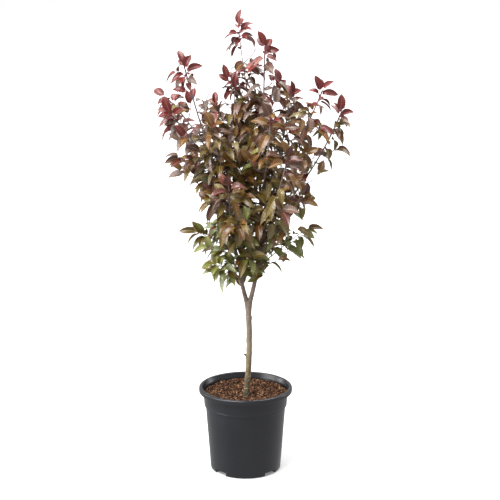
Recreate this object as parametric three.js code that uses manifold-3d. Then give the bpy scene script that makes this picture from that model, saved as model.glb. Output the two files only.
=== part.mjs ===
// Young purple-leaved cherry with two stems, standing in its round nursery pot.
// Millimetres, +Z up. The origin is the middle of the pot's flat underside.
// Seen from the front (looking along +Y), +X is to the right.
import * as THREE from 'three';
import { mergeVertices } from 'three/addons/utils/BufferGeometryUtils.js';
import Module from 'manifold-3d';

const wasm = await Module();
wasm.setup();

// Pot: a 12 litre nursery pot, 300 mm across its lip
const LIP_RADIUS = 150;
const LIP_HEIGHT = 16;
const LIP_MOUTH_RADIUS = 139.4;
const LIP_EDGE = 1.5;
const MOUTH_EDGE = 1;
const POT_HEIGHT = 272;
const COLLAR_TOP_RADIUS = 136.5;
const COLLAR_FOOT_RADIUS = 133;
const COLLAR_FOOT_HEIGHT = 212;
const COLLAR_STEP = 3;
const WALL_TOP_RADIUS = 129;
const FOOT_RADIUS = 113.3;
const FOOT_ROUND = 2.5;
const FLOOR_RADIUS = 111.1;
const WALL = 2.6;
const FLOOR = 3.5;
const POT_SIDES = 32;
const NOTCH_WIDTH = 46;
const NOTCH_HEIGHT = 11.5;
const NOTCH_DEPTH = 14;
const NOTCH_AZIMUTHS = [45, 135, 225, 315];
const DRAIN_COUNT = 6;
const DRAIN_CIRCLE = 62;
const DRAIN_RADIUS = 7;
const DRAIN_SIDES = 10;

// Soil: dished, highest at the wall, with a level patch under the trunk
const SOIL_AT_WALL = 250;
const SOIL_AT_TRUNK = 241;
const SOIL_PATCH = 34;
const SOIL_SHOULDER = 82;
const SOIL_DIP = 3;
const SOIL_RADIUS = 132.9;

// Trunk, and the two stems that it forks into
const TRUNK_FOOT_RADIUS = 12.5;
const TRUNK_RADIUS = 9.5;
const FORK_RADIUS = 9;
const FLARE_HEIGHT = 34;
const FLARE_FADE = 2.5;
const LEFT_RADIUS = 6.6;
const RIGHT_RADIUS = 7.2;
const STEM_END_RADIUS = 2.4;
const KNOT_RADIUS = 3.2;
const KNOT_REACH = 13;
const KNOT_TILT = 60;
const KNOT_TAPER = 0.8;
const STEM_STEPS = 12;
const STEM_SIDES = 7;
const BOUGH_END_RADIUS = 1.9;
const BOUGH_STEPS = 4;
const BOUGH_SIDES = 5;
const TWIG_SIDES = 3;

// Foliage: leaves and twigs stand round their shoot by the golden angle. What doesn't fit
// is tried again, turned on and a little smaller, up to TRIES times, and then left out
const GOLDEN_ANGLE = 137.5;
const TRIES = 8;

// Leaf: shares of its length are its width, the depth of its fold and the place of its rib
const LEAF_LENGTH = 80;
const YOUNG_LEAF_LENGTH = 68;
const LENGTH_LEAST = 0.88;
const LENGTH_VARIES = 0.24;
const LEAF_WIDTH = 0.42;
const LEAF_FOLD = 0.35;
const LEAF_THICKNESS = 1.6;
const LEAF_RIB = 0.85;
const LEAF_HEEL = 0.1;
const LEAF_BULGE = 0.45;
const LEAF_SPAN = 0.95;
const LEAF_ROLL = 50;
const LEAF_TURN = 53;
const LEAF_SHRINK = 0.03;

// How leaves stand: close to the shoot and straight at its tip, spread and drooping below
const INTERNODE = 30;
const TIP_INTERNODE = 9;
const TIP_LEAVES = 5;
const SIDE_TIP_LEAVES = 3;
const AFTER_TIP = 0.4;
const YOUNG_STRETCH = 90;
const TIP_SPREAD = 18;
const SPREAD_STEP = 13;
const SPREAD_STEPS = 4;
const OLD_SPREAD = 12;
const SPREAD_VARIES = 8;
const SPREAD_GIVES = 4;
const YOUNG_DROOP = 0.1;
const OLD_DROOP = 0.14;
const DROOP_VARIES = 0.08;
const YOUNG_LIFT = 0.1;
const OLD_SAG = 0.25;

// Twigs: how far apart, and where a side twig's bend and tip come, in shares of its length
const ROOT_CLEARANCE = 8;
const TWIG_SPACING = 52;
const TWIG_FIRST = 6;
const UNBRANCHED_TIP = 70;
const TWIG_LENGTH = 105;
const TWIG_LEAST = 0.85;
const TWIG_VARIES = 0.3;
const TWIG_SHORTENS = 0.5;
const TWIG_TURN = 60;
const TWIG_SHRINK = 0.08;
const TWIG_TIP = { out: 0.72, along: 0.5, rise: 0.2 };
const TWIG_BEND = { out: 0.45, along: 0.2, rise: 0 };
const TWIG_ROOT = 0.3;
const TWIG_BARE = 16;
const TWIG_END_RADIUS = 1.1;
const MAIN_STEP = 60;
const SIDE_TWIG_STEPS = 2;
const SIDE_TWIG_RADIUS = 1.5;

// Clearances: seated pieces stay SEAT apart, masses keep SPACE_MARGIN to each other
const SEAT = 0.3;
const SNAP = 0.001;
const SPACE_MARGIN = 4;
const LIMB_MARGIN = 1.5;
const LIMB_STEP = 25;
const LEAF_MIDDLE_MARGIN = 9;
const LEAF_SPACING = 10;

// Centre lines of the trunk and stems, from the few bends that show: x, y, z
const TRUNK_LINE = [[2, -15, 241.3], [9, -12, 329], [12, -8, 424], [10, -4, 500], [9, 0, 555]];
const LEFT_LINE = [
  [4, 0, 550], [-12, 0, 614], [-20, 0, 670], [-42, 2, 767],
  [-51, 0, 880], [-46, 6, 1000], [-38, 18, 1130], [-28, 45, 1263],
];
const RIGHT_LINE = [
  [14, 0, 550], [29, 0, 614], [43, 0, 690], [49, 0, 783], [47, 0, 900],
  [33, 4, 1003], [16, 8, 1096], [5, 10, 1218], [-8, 10, 1300], [-20, 10, 1406],
];
const LEFT_TOP = 1080;
const RIGHT_TOP = 1170;

// Knots left by pruned shoots on the trunk: height and azimuth
const KNOTS = [
  { height: 374, azimuth: 185 },
  { height: 498, azimuth: 8 },
  { height: 534, azimuth: 20 },
];

// Boughs and long shoots. Each row: its name; the stem and the height it leaves from;
// its azimuth in degrees from +X towards +Y; how far out and how high its tip comes; its
// slope at the stem and at the tip; the share of it that is a bare bough, none on a thin
// shoot; and its radius at the stem
const BOUGH_COLUMNS = [
  'name', 'stem', 'from', 'azimuth', 'reach', 'tip', 'rise', 'finish', 'bare', 'radius',
];
const BOUGH_ROWS = [
  ['peak_right', 'right', 960, -66, 46, 1345, 72, 86, 0.38, 3],
  ['high_left', 'left', 880, -159, 141, 1292, 66, 75, 0.36, 3.4],
  ['wide_left', 'left', 900, 166, 200, 1192, 66, 44, 0.36, 3],
  ['wide_front_left', 'left', 850, -150, 198, 1153, 62, 45, 0.34, 3],
  ['middle_left', 'left', 835, -172, 151, 1013, 52, 30, 0.3, 2.8],
  ['low_front', 'left', 770, -92, 167, 950, 36, 66, 0.3, 2.8],
  ['high_back_right', 'right', 878, 44, 128, 1192, 52, 80, 0.36, 3],
  ['high_right', 'right', 831, -15, 189, 1220, 64, 68, 0.36, 3.4],
  ['wide_right', 'right', 767, 2, 244, 1145, 50, 68, 0.4, 3.6],
  ['middle_right', 'right', 735, -37, 159, 906, 36, 60, 0.34, 2.8],
  ['middle_back_left', 'left', 800, 113, 216, 1090, 50, 62, 0.36, 3.2],
  ['wide_back', 'right', 820, 92, 246, 1150, 48, 64, 0.38, 3.4],
  ['middle_back_right', 'right', 780, 50, 225, 1060, 46, 60, 0.36, 3.2],
  ['wide_front_right', 'right', 755, -70, 221, 1040, 46, 62, 0.36, 3.2],
  ['high_front', 'right', 870, -80, 151, 1150, 56, 74, 0.34, 3],
  ['high_back_left', 'left', 940, 109, 113, 1150, 56, 70, 0, 2.2],
  ['high_front_left', 'left', 912, -112, 124, 1113, 52, 70, 0, 2.2],
  ['low_back_left', 'left', 695, 104, 175, 850, 36, 50, 0, 2.2],
  ['low_back_right', 'right', 705, 63, 168, 880, 40, 56, 0, 2.2],
  ['low_left', 'left', 700, 170, 124, 771, 42, 22, 0, 2.2],
  ['low_right', 'right', 664, -8, 149, 788, 40, 36, 0, 2.2],
  ['lowest_left', 'left', 628, -149, 90, 682, 36, 20, 0, 2],
];
const BOUGH_HANDLE = 0.36;
const BOUGH_POINTS = 20;
const BOUGH_SEED = 7001;
const TOP_SEED = 9001;
const SEED_STEP = 131;

// Spurs: short shoots up each stem that fill the crown's middle, each turned to where
// there is most room, of SPUR_TURNS azimuths
const SPURS_PER_STEM = 6;
const SPUR_TURNS = 12;
const SPUR_FROM = 606;
const SPUR_STEP = 62;
const SPUR_OFFSET = 31;
const SPUR_LIFT = 44;
const SPUR_OUTER = 0.55;
const SPUR = { reach: 80, rise: 34, finish: 28, bare: 0 };

const UP = new THREE.Vector3(0, 0, 1);
const ACROSS = new THREE.Vector3(1, 0, 0);

const POT_FINISH = new THREE.MeshStandardMaterial({ color: 0x25282d, roughness: 0.5, metalness: 0 });
const SOIL_FINISH = new THREE.MeshStandardMaterial({ color: 0x6b4030, roughness: 0.95, metalness: 0 });
const BARK_FINISH = new THREE.MeshStandardMaterial({ color: 0x82726a, roughness: 0.85, metalness: 0 });
const LEAF_FINISH = new THREE.MeshStandardMaterial({ color: 0x5d4034, roughness: 0.6, metalness: 0 });

function radians(degrees) {
  return degrees * Math.PI / 180;
}

// Seeded numbers from 0 to 1
function generator(seed) {
  let state = seed;
  return () => {
    state = (state * 48271) % 2147483647;
    return state / 2147483647;
  };
}

// A closed geometry as a solid, and a solid back as a geometry
function toSolid(geometry) {
  const bare = geometry.clone();
  bare.deleteAttribute('normal');
  bare.deleteAttribute('uv');
  const merged = mergeVertices(bare, 1e-4);
  return new wasm.Manifold(new wasm.Mesh({
    numProp: 3,
    vertProperties: new Float32Array(merged.attributes.position.array),
    triVerts: new Uint32Array(merged.index.array),
  }));
}

function toGeometry(solid) {
  const mesh = solid.getMesh();
  const positions = new Float32Array(mesh.numVert * 3);
  for (let i = 0; i < mesh.numVert; i += 1) {
    for (let axis = 0; axis < 3; axis += 1) {
      positions[i * 3 + axis] = mesh.vertProperties[i * mesh.numProp + axis];
    }
  }
  const geometry = new THREE.BufferGeometry();
  geometry.setAttribute('position', new THREE.BufferAttribute(positions, 3));
  geometry.setIndex(new THREE.BufferAttribute(new Uint32Array(mesh.triVerts), 1));
  const snapped = withoutSlivers(geometry);
  snapped.computeVertexNormals();
  return snapped;
}

// Corners closer than SNAP become one, and the faces that this closes up are left out
function withoutSlivers(geometry) {
  const merged = mergeVertices(geometry, SNAP);
  const corners = merged.index.array;
  const kept = [];
  for (let i = 0; i < corners.length; i += 3) {
    const [a, b, c] = corners.slice(i, i + 3);
    if (a !== b && b !== c && c !== a) {
      kept.push(a, b, c);
    }
  }
  merged.setIndex(kept);
  return merged;
}

// The largest body of a solid: sealed hollows are filled and loose scraps dropped
function mainBody(solid) {
  const mesh = solid.getMesh();
  const first = Array.from({ length: mesh.numVert }, (_, i) => i);
  const rootOf = (i) => {
    let root = i;
    while (first[root] !== root) {
      root = first[root];
    }
    first[i] = root;
    return root;
  };
  for (let i = 0; i < mesh.triVerts.length; i += 3) {
    const [a, b, c] = mesh.triVerts.slice(i, i + 3);
    first[rootOf(b)] = rootOf(a);
    first[rootOf(c)] = rootOf(a);
  }
  const volumes = new Map();
  const corner = (i) => new THREE.Vector3().fromArray(mesh.vertProperties, i * mesh.numProp);
  for (let i = 0; i < mesh.triVerts.length; i += 3) {
    const [a, b, c] = mesh.triVerts.slice(i, i + 3);
    const share = corner(a).dot(corner(b).cross(corner(c)));
    volumes.set(rootOf(a), (volumes.get(rootOf(a)) ?? 0) + share);
  }
  if (volumes.size === 1) {
    return solid;
  }
  const [largest] = [...volumes].reduce((best, body) => (body[1] > best[1] ? body : best));
  const kept = mesh.triVerts.filter((_, i) => rootOf(mesh.triVerts[i - i % 3]) === largest);
  return new wasm.Manifold(new wasm.Mesh({
    numProp: mesh.numProp,
    vertProperties: mesh.vertProperties,
    triVerts: kept,
  }));
}

function named(name, solid, material) {
  const mesh = new THREE.Mesh(toGeometry(solid), material);
  mesh.name = name;
  return mesh;
}

// A path is its points with the length run up to each
function makePath(points) {
  const run = [0];
  for (let i = 1; i < points.length; i += 1) {
    run.push(run[i - 1] + points[i].distanceTo(points[i - 1]));
  }
  return { points, run, length: run[run.length - 1] };
}

function splinePath(line) {
  const points = line.map((point) => new THREE.Vector3(...point));
  const curve = new THREE.CatmullRomCurve3(points, false, 'catmullrom', 0.5);
  return makePath(curve.getPoints(6 * (line.length - 1)));
}

function placeOn(path, distance) {
  let i = 1;
  while (i < path.points.length - 1 && path.run[i] < distance) {
    i += 1;
  }
  const share = (distance - path.run[i - 1]) / (path.run[i] - path.run[i - 1]);
  return path.points[i - 1].clone().lerp(path.points[i], share);
}

function directionOn(path, distance) {
  const reach = 3;
  const ahead = placeOn(path, distance + reach);
  return ahead.sub(placeOn(path, distance - reach)).normalize();
}

// A stretch of a path as a path of its own, in equal steps
function stretchOf(path, start, end, steps) {
  const points = [];
  for (let i = 0; i <= steps; i += 1) {
    points.push(placeOn(path, start + (end - start) * i / steps));
  }
  return makePath(points);
}

function distanceAtHeight(path, height) {
  let i = 1;
  while (i < path.points.length - 1 && path.points[i].z < height) {
    i += 1;
  }
  const rise = path.points[i].z - path.points[i - 1].z;
  const share = (height - path.points[i - 1].z) / rise;
  return path.run[i - 1] + share * (path.run[i] - path.run[i - 1]);
}

// Two directions square to a direction, right-handed with it
function squareTo(direction) {
  const first = ACROSS.clone().addScaledVector(direction, -ACROSS.dot(direction)).normalize();
  const second = first.clone().cross(direction);
  return [first, second];
}

// A closed tapering limb: a cylinder bent so that its rings stand on a path's points
function limbSolid(path, radiusAt, sides) {
  const rings = path.points.length - 1;
  const geometry = new THREE.CylinderGeometry(1, 1, 1, sides, rings);
  const position = geometry.attributes.position;
  for (let i = 0; i < position.count; i += 1) {
    const ring = Math.round((0.5 + position.getY(i)) * rings);
    const before = path.points[Math.max(0, ring - 1)];
    const after = path.points[Math.min(rings, ring + 1)];
    const [first, second] = squareTo(after.clone().sub(before).normalize());
    const radius = radiusAt(path.run[ring] / path.length);
    const place = path.points[ring].clone()
      .addScaledVector(first, radius * position.getX(i))
      .addScaledVector(second, radius * position.getZ(i));
    position.setXYZ(i, place.x, place.y, place.z);
  }
  return toSolid(geometry);
}

function taper(startRadius, endRadius, extra = 0) {
  return (share) => startRadius + (endRadius - startRadius) * share + extra;
}

// A body turned about the vertical from its outline of radius and height
function turned(outline) {
  const lathed = new THREE.LatheGeometry(outline.map(([r, z]) => new THREE.Vector2(r, z)), POT_SIDES);
  lathed.rotateX(Math.PI / 2);
  return toSolid(lathed);
}

// Pot: turned wall, collar and lip, with notches at its foot and drain holes
function potSolid() {
  const lipFoot = POT_HEIGHT - LIP_HEIGHT;
  const outline = [
    [0, 0],
    [FOOT_RADIUS - FOOT_ROUND, 0],
    [FOOT_RADIUS, FOOT_ROUND],
    [WALL_TOP_RADIUS, COLLAR_FOOT_HEIGHT - COLLAR_STEP],
    [COLLAR_FOOT_RADIUS, COLLAR_FOOT_HEIGHT],
    [COLLAR_TOP_RADIUS, lipFoot],
    [LIP_RADIUS - LIP_EDGE, lipFoot],
    [LIP_RADIUS, lipFoot + LIP_EDGE],
    [LIP_RADIUS, POT_HEIGHT - 2 * LIP_EDGE],
    [LIP_RADIUS - 2 * LIP_EDGE, POT_HEIGHT],
    [LIP_MOUTH_RADIUS + MOUTH_EDGE, POT_HEIGHT],
    [LIP_MOUTH_RADIUS, POT_HEIGHT - MOUTH_EDGE],
    [COLLAR_TOP_RADIUS - WALL, lipFoot],
    [COLLAR_FOOT_RADIUS - WALL, COLLAR_FOOT_HEIGHT],
    [WALL_TOP_RADIUS - WALL, COLLAR_FOOT_HEIGHT - 2 * COLLAR_STEP],
    [FLOOR_RADIUS, FLOOR],
    [0, FLOOR],
  ];
  let pot = turned(outline);
  for (const azimuth of NOTCH_AZIMUTHS) {
    const notch = new THREE.BoxGeometry(NOTCH_DEPTH, NOTCH_WIDTH, 2 * NOTCH_HEIGHT);
    notch.translate(FOOT_RADIUS, 0, 0);
    notch.rotateZ(radians(azimuth));
    pot = pot.subtract(toSolid(notch));
  }
  for (let i = 0; i < DRAIN_COUNT; i += 1) {
    const drain = new THREE.CylinderGeometry(DRAIN_RADIUS, DRAIN_RADIUS, 4 * FLOOR, DRAIN_SIDES);
    drain.rotateX(Math.PI / 2);
    drain.translate(DRAIN_CIRCLE, 0, 0);
    drain.rotateZ(radians(360 * i / DRAIN_COUNT));
    pot = pot.subtract(toSolid(drain));
  }
  return pot;
}

// Soil: a turned body that fills the pot, clear of its wall and floor
function soilSolid() {
  return turned([
    [0, FLOOR + SEAT],
    [FLOOR_RADIUS - 2 * SEAT, FLOOR + SEAT],
    [WALL_TOP_RADIUS - WALL - 1.5 * SEAT, COLLAR_FOOT_HEIGHT - 2 * COLLAR_STEP],
    [COLLAR_FOOT_RADIUS - WALL - 1.5 * SEAT, COLLAR_FOOT_HEIGHT + SEAT],
    [SOIL_RADIUS, SOIL_AT_WALL],
    [SOIL_SHOULDER, SOIL_AT_WALL - SOIL_DIP],
    [SOIL_PATCH, SOIL_AT_TRUNK],
    [0, SOIL_AT_TRUNK],
  ]);
}

// Trunk: leaning, with a root flare at its flat cut and the knots of pruned shoots
const trunkPath = splinePath(TRUNK_LINE);
const leftPath = splinePath(LEFT_LINE);
const rightPath = splinePath(RIGHT_LINE);

function trunkRadius(extra) {
  return (share) => {
    const height = share * trunkPath.length;
    const flare = (TRUNK_FOOT_RADIUS - TRUNK_RADIUS) * Math.exp(-FLARE_FADE * height / FLARE_HEIGHT);
    return TRUNK_RADIUS + (FORK_RADIUS - TRUNK_RADIUS) * share + flare + extra;
  };
}

// The trunk's rings stand closer together in its flare
function trunkLimb(extra) {
  const flare = stretchOf(trunkPath, 0, FLARE_HEIGHT, 3);
  const shaft = stretchOf(trunkPath, FLARE_HEIGHT, trunkPath.length + extra, 8);
  return limbSolid(makePath([...flare.points, ...shaft.points.slice(1)]), trunkRadius(extra), 10);
}

function trunkSolid() {
  let trunk = trunkLimb(0);
  for (const knot of KNOTS) {
    const stub = new THREE.CylinderGeometry(KNOT_RADIUS * KNOT_TAPER, KNOT_RADIUS, KNOT_REACH, 7);
    stub.translate(0, KNOT_REACH / 2, 0);
    stub.rotateZ(radians(-KNOT_TILT));
    stub.rotateX(Math.PI / 2);
    stub.rotateZ(radians(knot.azimuth));
    const seat = placeOn(trunkPath, distanceAtHeight(trunkPath, knot.height));
    stub.translate(seat.x, seat.y, seat.z);
    trunk = trunk.add(toSolid(stub));
  }
  return trunk;
}

// The trunk's foot is cut level, and stands on the soil's level patch
function levelCut(solid, height) {
  const below = new THREE.BoxGeometry(2 * SOIL_PATCH, 2 * SOIL_PATCH, SOIL_PATCH);
  below.translate(0, 0, height - SOIL_PATCH / 2);
  return solid.subtract(toSolid(below));
}

const stems = {
  left: { path: leftPath, end: distanceAtHeight(leftPath, LEFT_TOP), radius: LEFT_RADIUS },
  right: { path: rightPath, end: distanceAtHeight(rightPath, RIGHT_TOP), radius: RIGHT_RADIUS },
};

function stemSolid(stem, extra) {
  const path = stretchOf(stem.path, 0, stem.end + extra, STEM_STEPS);
  return limbSolid(path, taper(stem.radius, STEM_END_RADIUS, extra), STEM_SIDES);
}

// Shortest distance from a point to the stretch a to b, and to a line of points
function distanceToSegment(point, a, b) {
  const nearest = new THREE.Line3(a, b).closestPointToPoint(point, true, new THREE.Vector3());
  return nearest.distanceTo(point);
}

function distanceToAxis(point, axis) {
  let best = Infinity;
  for (let i = 1; i < axis.length; i += 1) {
    best = Math.min(best, distanceToSegment(point, axis[i - 1], axis[i]));
  }
  return best;
}

// Shortest distance between the stretches p to q and a to b
function segmentDistance(p, q, a, b) {
  const d1 = q.clone().sub(p);
  const d2 = b.clone().sub(a);
  const r = p.clone().sub(a);
  const aa = d1.dot(d1);
  const ee = d2.dot(d2);
  const f = d2.dot(r);
  const c = d1.dot(r);
  const bb = d1.dot(d2);
  const denominator = aa * ee - bb * bb;
  let s = denominator > 1e-9 ? THREE.MathUtils.clamp((bb * f - c * ee) / denominator, 0, 1) : 0;
  const t = THREE.MathUtils.clamp((bb * s + f) / ee, 0, 1);
  s = THREE.MathUtils.clamp((bb * t - c) / aa, 0, 1);
  return p.clone().addScaledVector(d1, s).distanceTo(a.clone().addScaledVector(d2, t));
}

// A shoot is its path from the stem's axis to its tip, and where its foliage starts
function makeShoot(row, index) {
  const stem = stems[row.stem];
  const from = placeOn(stem.path, distanceAtHeight(stem.path, row.from));
  const azimuth = radians(row.azimuth);
  const outward = new THREE.Vector3(Math.cos(azimuth), Math.sin(azimuth), 0);
  const tip = from.clone().addScaledVector(outward, row.reach).setZ(row.tip);
  const handle = from.distanceTo(tip) * BOUGH_HANDLE;
  const slopeAt = (slope) => outward.clone().multiplyScalar(Math.cos(radians(slope)))
    .addScaledVector(UP, Math.sin(radians(slope)));
  const nearStem = from.clone().addScaledVector(slopeAt(row.rise), handle);
  const nearTip = tip.clone().addScaledVector(slopeAt(row.finish), -handle);
  const curve = new THREE.CubicBezierCurve3(from, nearStem, nearTip, tip);
  const path = makePath(curve.getPoints(BOUGH_POINTS));
  return { ...row, seed: BOUGH_SEED + SEED_STEP * index, path, limbEnd: row.bare * path.length };
}

const shoots = BOUGH_ROWS.map((row, index) => (
  makeShoot(Object.fromEntries(BOUGH_COLUMNS.map((column, k) => [column, row[k]])), index)));

// Centre lines that the foliage keeps clear of, as segments with a radius
const limbSegments = [];
function addLimbSegments(path, start, end, radiusAt) {
  const count = Math.max(2, Math.round((end - start) / LIMB_STEP));
  const { points } = stretchOf(path, start, end, count);
  for (let i = 1; i < points.length; i += 1) {
    limbSegments.push({ a: points[i - 1], b: points[i], radius: radiusAt((i - 1) / count) });
  }
}
addLimbSegments(trunkPath, 0, trunkPath.length, trunkRadius(0));
for (const stem of Object.values(stems)) {
  addLimbSegments(stem.path, 0, stem.end, taper(stem.radius, STEM_END_RADIUS));
}
for (const shoot of shoots) {
  if (shoot.limbEnd > 0) {
    addLimbSegments(shoot.path, 0, shoot.limbEnd, taper(shoot.radius, BOUGH_END_RADIUS));
  }
}

// Room round a spur: how far its outer half is from every limb and other shoot
function roomRound(spur) {
  const middle = placeOn(spur.path, spur.path.length * SPUR_OUTER);
  const tip = placeOn(spur.path, spur.path.length);
  const lines = limbSegments.map(({ a, b }) => [a, b]);
  for (const shoot of shoots) {
    lines.push([placeOn(shoot.path, shoot.limbEnd), placeOn(shoot.path, shoot.path.length / 2)]);
    lines.push([placeOn(shoot.path, shoot.path.length / 2), placeOn(shoot.path, shoot.path.length)]);
  }
  return Math.min(...lines.map(([a, b]) => segmentDistance(middle, tip, a, b)));
}

for (const stem of ['left', 'right']) {
  for (let i = 0; i < SPURS_PER_STEM; i += 1) {
    const from = SPUR_FROM + SPUR_STEP * i + (stem === 'right' ? SPUR_OFFSET : 0);
    const row = { ...SPUR, name: `${stem}_spur_${i + 1}`, stem, from, tip: from + SPUR_LIFT };
    const turns = Array.from({ length: SPUR_TURNS }, (_, k) => 360 * k / SPUR_TURNS);
    const spurs = turns.map((azimuth) => makeShoot({ ...row, azimuth }, shoots.length));
    shoots.push(spurs.reduce((best, spur) => (roomRound(spur) > roomRound(best) ? spur : best)));
  }
}

// The two stems run on into the foliage of their tops
for (const [name, stem] of Object.entries(stems)) {
  const seed = TOP_SEED + SEED_STEP * name.length;
  shoots.push({ name: `${name}_top`, seed, path: stem.path, limbEnd: stem.end, top: true });
}

// A mass's main twig runs on from its bough's end, SEAT clear of it, to the shoot's tip
for (const shoot of shoots) {
  const start = shoot.limbEnd > 0 ? shoot.limbEnd + SEAT : 0;
  const steps = Math.max(2, Math.round((shoot.path.length - start) / MAIN_STEP));
  shoot.twig = stretchOf(shoot.path, start, shoot.path.length, steps);
  shoot.bareTwig = shoot.limbEnd > 0 ? 0 : stems[shoot.stem].radius;
}

// Own space: a point belongs to the mass whose main twig is nearest to it
function inOwnSpace(point, shoot) {
  const own = distanceToAxis(point, shoot.twig.points);
  return shoots.every((other) => other === shoot
    || distanceToAxis(point, other.twig.points) > own + SPACE_MARGIN);
}

// Whether the stretch p to q keeps the margin to the trunk, stems and boughs
function clearOfLimbs(p, q, margin) {
  return limbSegments.every((limb) => segmentDistance(p, q, limb.a, limb.b) > limb.radius + margin);
}

// A leaf is folded along its middle and arched: its corners from the place of its stalk, its
// direction, the shoot's direction, its roll, its length and how much it droops
function makeLeaf(base, direction, along, roll, length, droop) {
  const upper = along.clone().multiplyScalar(0.5).add(UP);
  const normal = upper.addScaledVector(direction, -upper.dot(direction)).normalize()
    .applyAxisAngle(direction, roll);
  const across = direction.clone().cross(normal);
  const middle = base.clone().addScaledVector(direction, length / 2)
    .addScaledVector(normal, length * droop * LEAF_BULGE);
  const tip = base.clone().addScaledVector(direction, length * LEAF_SPAN)
    .addScaledVector(normal, -length * droop);
  const half = length * LEAF_WIDTH / 2;
  const ridge = middle.clone().addScaledVector(normal, half * LEAF_FOLD);
  const left = ridge.clone().addScaledVector(across, -half);
  const right = ridge.clone().addScaledVector(across, half);
  const heel = base.clone().lerp(middle, LEAF_HEEL);
  return { base, heel, middle, tip, left, right, normal };
}

// Which side of the plane a b c a point lies on
function sideOf(a, b, c, point) {
  const u = b.clone().sub(a);
  const v = c.clone().sub(a);
  return u.cross(v).dot(point.clone().sub(a));
}

// Whether the stretch p to q passes through a triangle
function pierces(p, q, [a, b, c]) {
  if (sideOf(a, b, c, p) * sideOf(a, b, c, q) > 0) {
    return false;
  }
  const first = sideOf(p, q, a, b);
  const second = sideOf(p, q, b, c);
  const third = sideOf(p, q, c, a);
  return (first > 0 && second > 0 && third > 0) || (first < 0 && second < 0 && third < 0);
}

// A leaf's four upper faces and its edges, which are enough to tell whether leaves cross
function leafFaces({ heel, middle, tip, left, right }) {
  return [[heel, left, middle], [heel, middle, right], [middle, left, tip], [middle, tip, right]];
}

function leafEdges({ heel, middle, tip, left, right }) {
  return [[heel, left], [heel, right], [left, tip], [right, tip], [heel, middle], [middle, tip]];
}

function leavesCross(one, other) {
  if (one.middle.distanceTo(other.middle) > LEAF_LENGTH) {
    return false;
  }
  return leafEdges(one).some(([p, q]) => leafFaces(other).some((face) => pierces(p, q, face)))
    || leafEdges(other).some(([p, q]) => leafFaces(one).some((face) => pierces(p, q, face)));
}

function twigCrosses(twig, leaf) {
  const { points } = twig.path;
  return points.some((point, i) => (
    i > 0 && leafFaces(leaf).some((face) => pierces(points[i - 1], point, face))));
}

// Whether a leaf keeps to its mass's space, clear of limbs, twigs and the leaves before it
function leafFits(leaf, shoot, others, twigs) {
  const { base, middle, tip, left, right } = leaf;
  const blade = [[base, left], [base, right], [left, tip], [right, tip]];
  const rib = [middle, tip];
  const samples = [middle, tip, left, right];
  for (const [a, b] of [...blade, rib]) {
    samples.push(a.clone().lerp(b, 0.5));
  }
  const stalk = [base.clone().lerp(middle, TWIG_ROOT), middle];
  return samples.every((point) => inOwnSpace(point, shoot))
    && [stalk, rib].every(([a, b]) => clearOfLimbs(a, b, LEAF_MIDDLE_MARGIN))
    && blade.every(([a, b]) => clearOfLimbs(a, b, LIMB_MARGIN))
    && !twigs.some((twig) => twigCrosses(twig, leaf))
    && !others.some((other) => other.middle.distanceTo(middle) < LEAF_SPACING)
    && !others.some((other) => leavesCross(leaf, other));
}

// A direction that leans from the shoot's own by lean, at a turn round it, in degrees
function leaned(along, turn, lean) {
  const [first, second] = squareTo(along);
  const outward = first.multiplyScalar(Math.cos(radians(turn)))
    .addScaledVector(second, Math.sin(radians(turn)));
  return along.clone().multiplyScalar(Math.cos(radians(lean)))
    .addScaledVector(outward, Math.sin(radians(lean)));
}

// Places up a twig where leaves stand, from its tip down
function leafPlaces({ path, start, tipLeaves }) {
  const places = [];
  for (let i = 0; i < tipLeaves; i += 1) {
    places.push(path.length - 1 - TIP_INTERNODE * i);
  }
  const below = path.length - 1 - TIP_INTERNODE * tipLeaves - AFTER_TIP * INTERNODE;
  for (let distance = below; distance > start; distance -= INTERNODE) {
    places.push(distance);
  }
  return places;
}

// Leaves up one twig: spreading and large below, young, small and upright at its tip
function layLeaves(twig, shoot, leaves, twigs, random) {
  const { path } = twig;
  const phase = 360 * random();
  leafPlaces(twig).forEach((distance, k) => {
    const age = Math.min(1, (path.length - distance) / YOUNG_STRETCH);
    const grown = YOUNG_LEAF_LENGTH + (LEAF_LENGTH - YOUNG_LEAF_LENGTH) * age;
    const length = grown * (LENGTH_LEAST + LENGTH_VARIES * random());
    const spread = TIP_SPREAD + SPREAD_STEP * Math.min(k, SPREAD_STEPS) + OLD_SPREAD * age
      + SPREAD_VARIES * random();
    const droop = YOUNG_DROOP + OLD_DROOP * age + DROOP_VARIES * random();
    const roll = radians(LEAF_ROLL * (2 * random() - 1));
    const base = placeOn(path, distance);
    const along = directionOn(path, distance);
    for (let attempt = 0; attempt < TRIES; attempt += 1) {
      const turn = phase + GOLDEN_ANGLE * k + LEAF_TURN * attempt;
      const direction = leaned(along, turn, spread - SPREAD_GIVES * attempt)
        .addScaledVector(UP, YOUNG_LIFT - OLD_SAG * age).normalize();
      const size = length * (1 - LEAF_SHRINK * attempt);
      const leaf = makeLeaf(base, direction, along, roll, size, droop);
      if (leafFits(leaf, shoot, leaves, twigs)) {
        leaves.push(leaf);
        return;
      }
    }
  });
}

// A side twig bends up from its root on the shoot
function bentTwig(base, outward, along, length) {
  const [bend, tip] = [TWIG_BEND, TWIG_TIP].map((place) => (
    base.clone().addScaledVector(outward, length * place.out)
      .addScaledVector(along, length * place.along).addScaledVector(UP, length * place.rise)));
  return makePath(new THREE.QuadraticBezierCurve3(base, bend, tip).getPoints(SIDE_TWIG_STEPS));
}

// Whether a side twig keeps to its mass's space and clear of limbs
function twigFits({ points }, shoot) {
  const [base, near, far] = points;
  return inOwnSpace(near, shoot) && inOwnSpace(far, shoot)
    && clearOfLimbs(base.clone().lerp(near, TWIG_ROOT), near, LIMB_MARGIN + SIDE_TWIG_RADIUS)
    && clearOfLimbs(near, far, LIMB_MARGIN + SIDE_TWIG_RADIUS);
}

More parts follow.
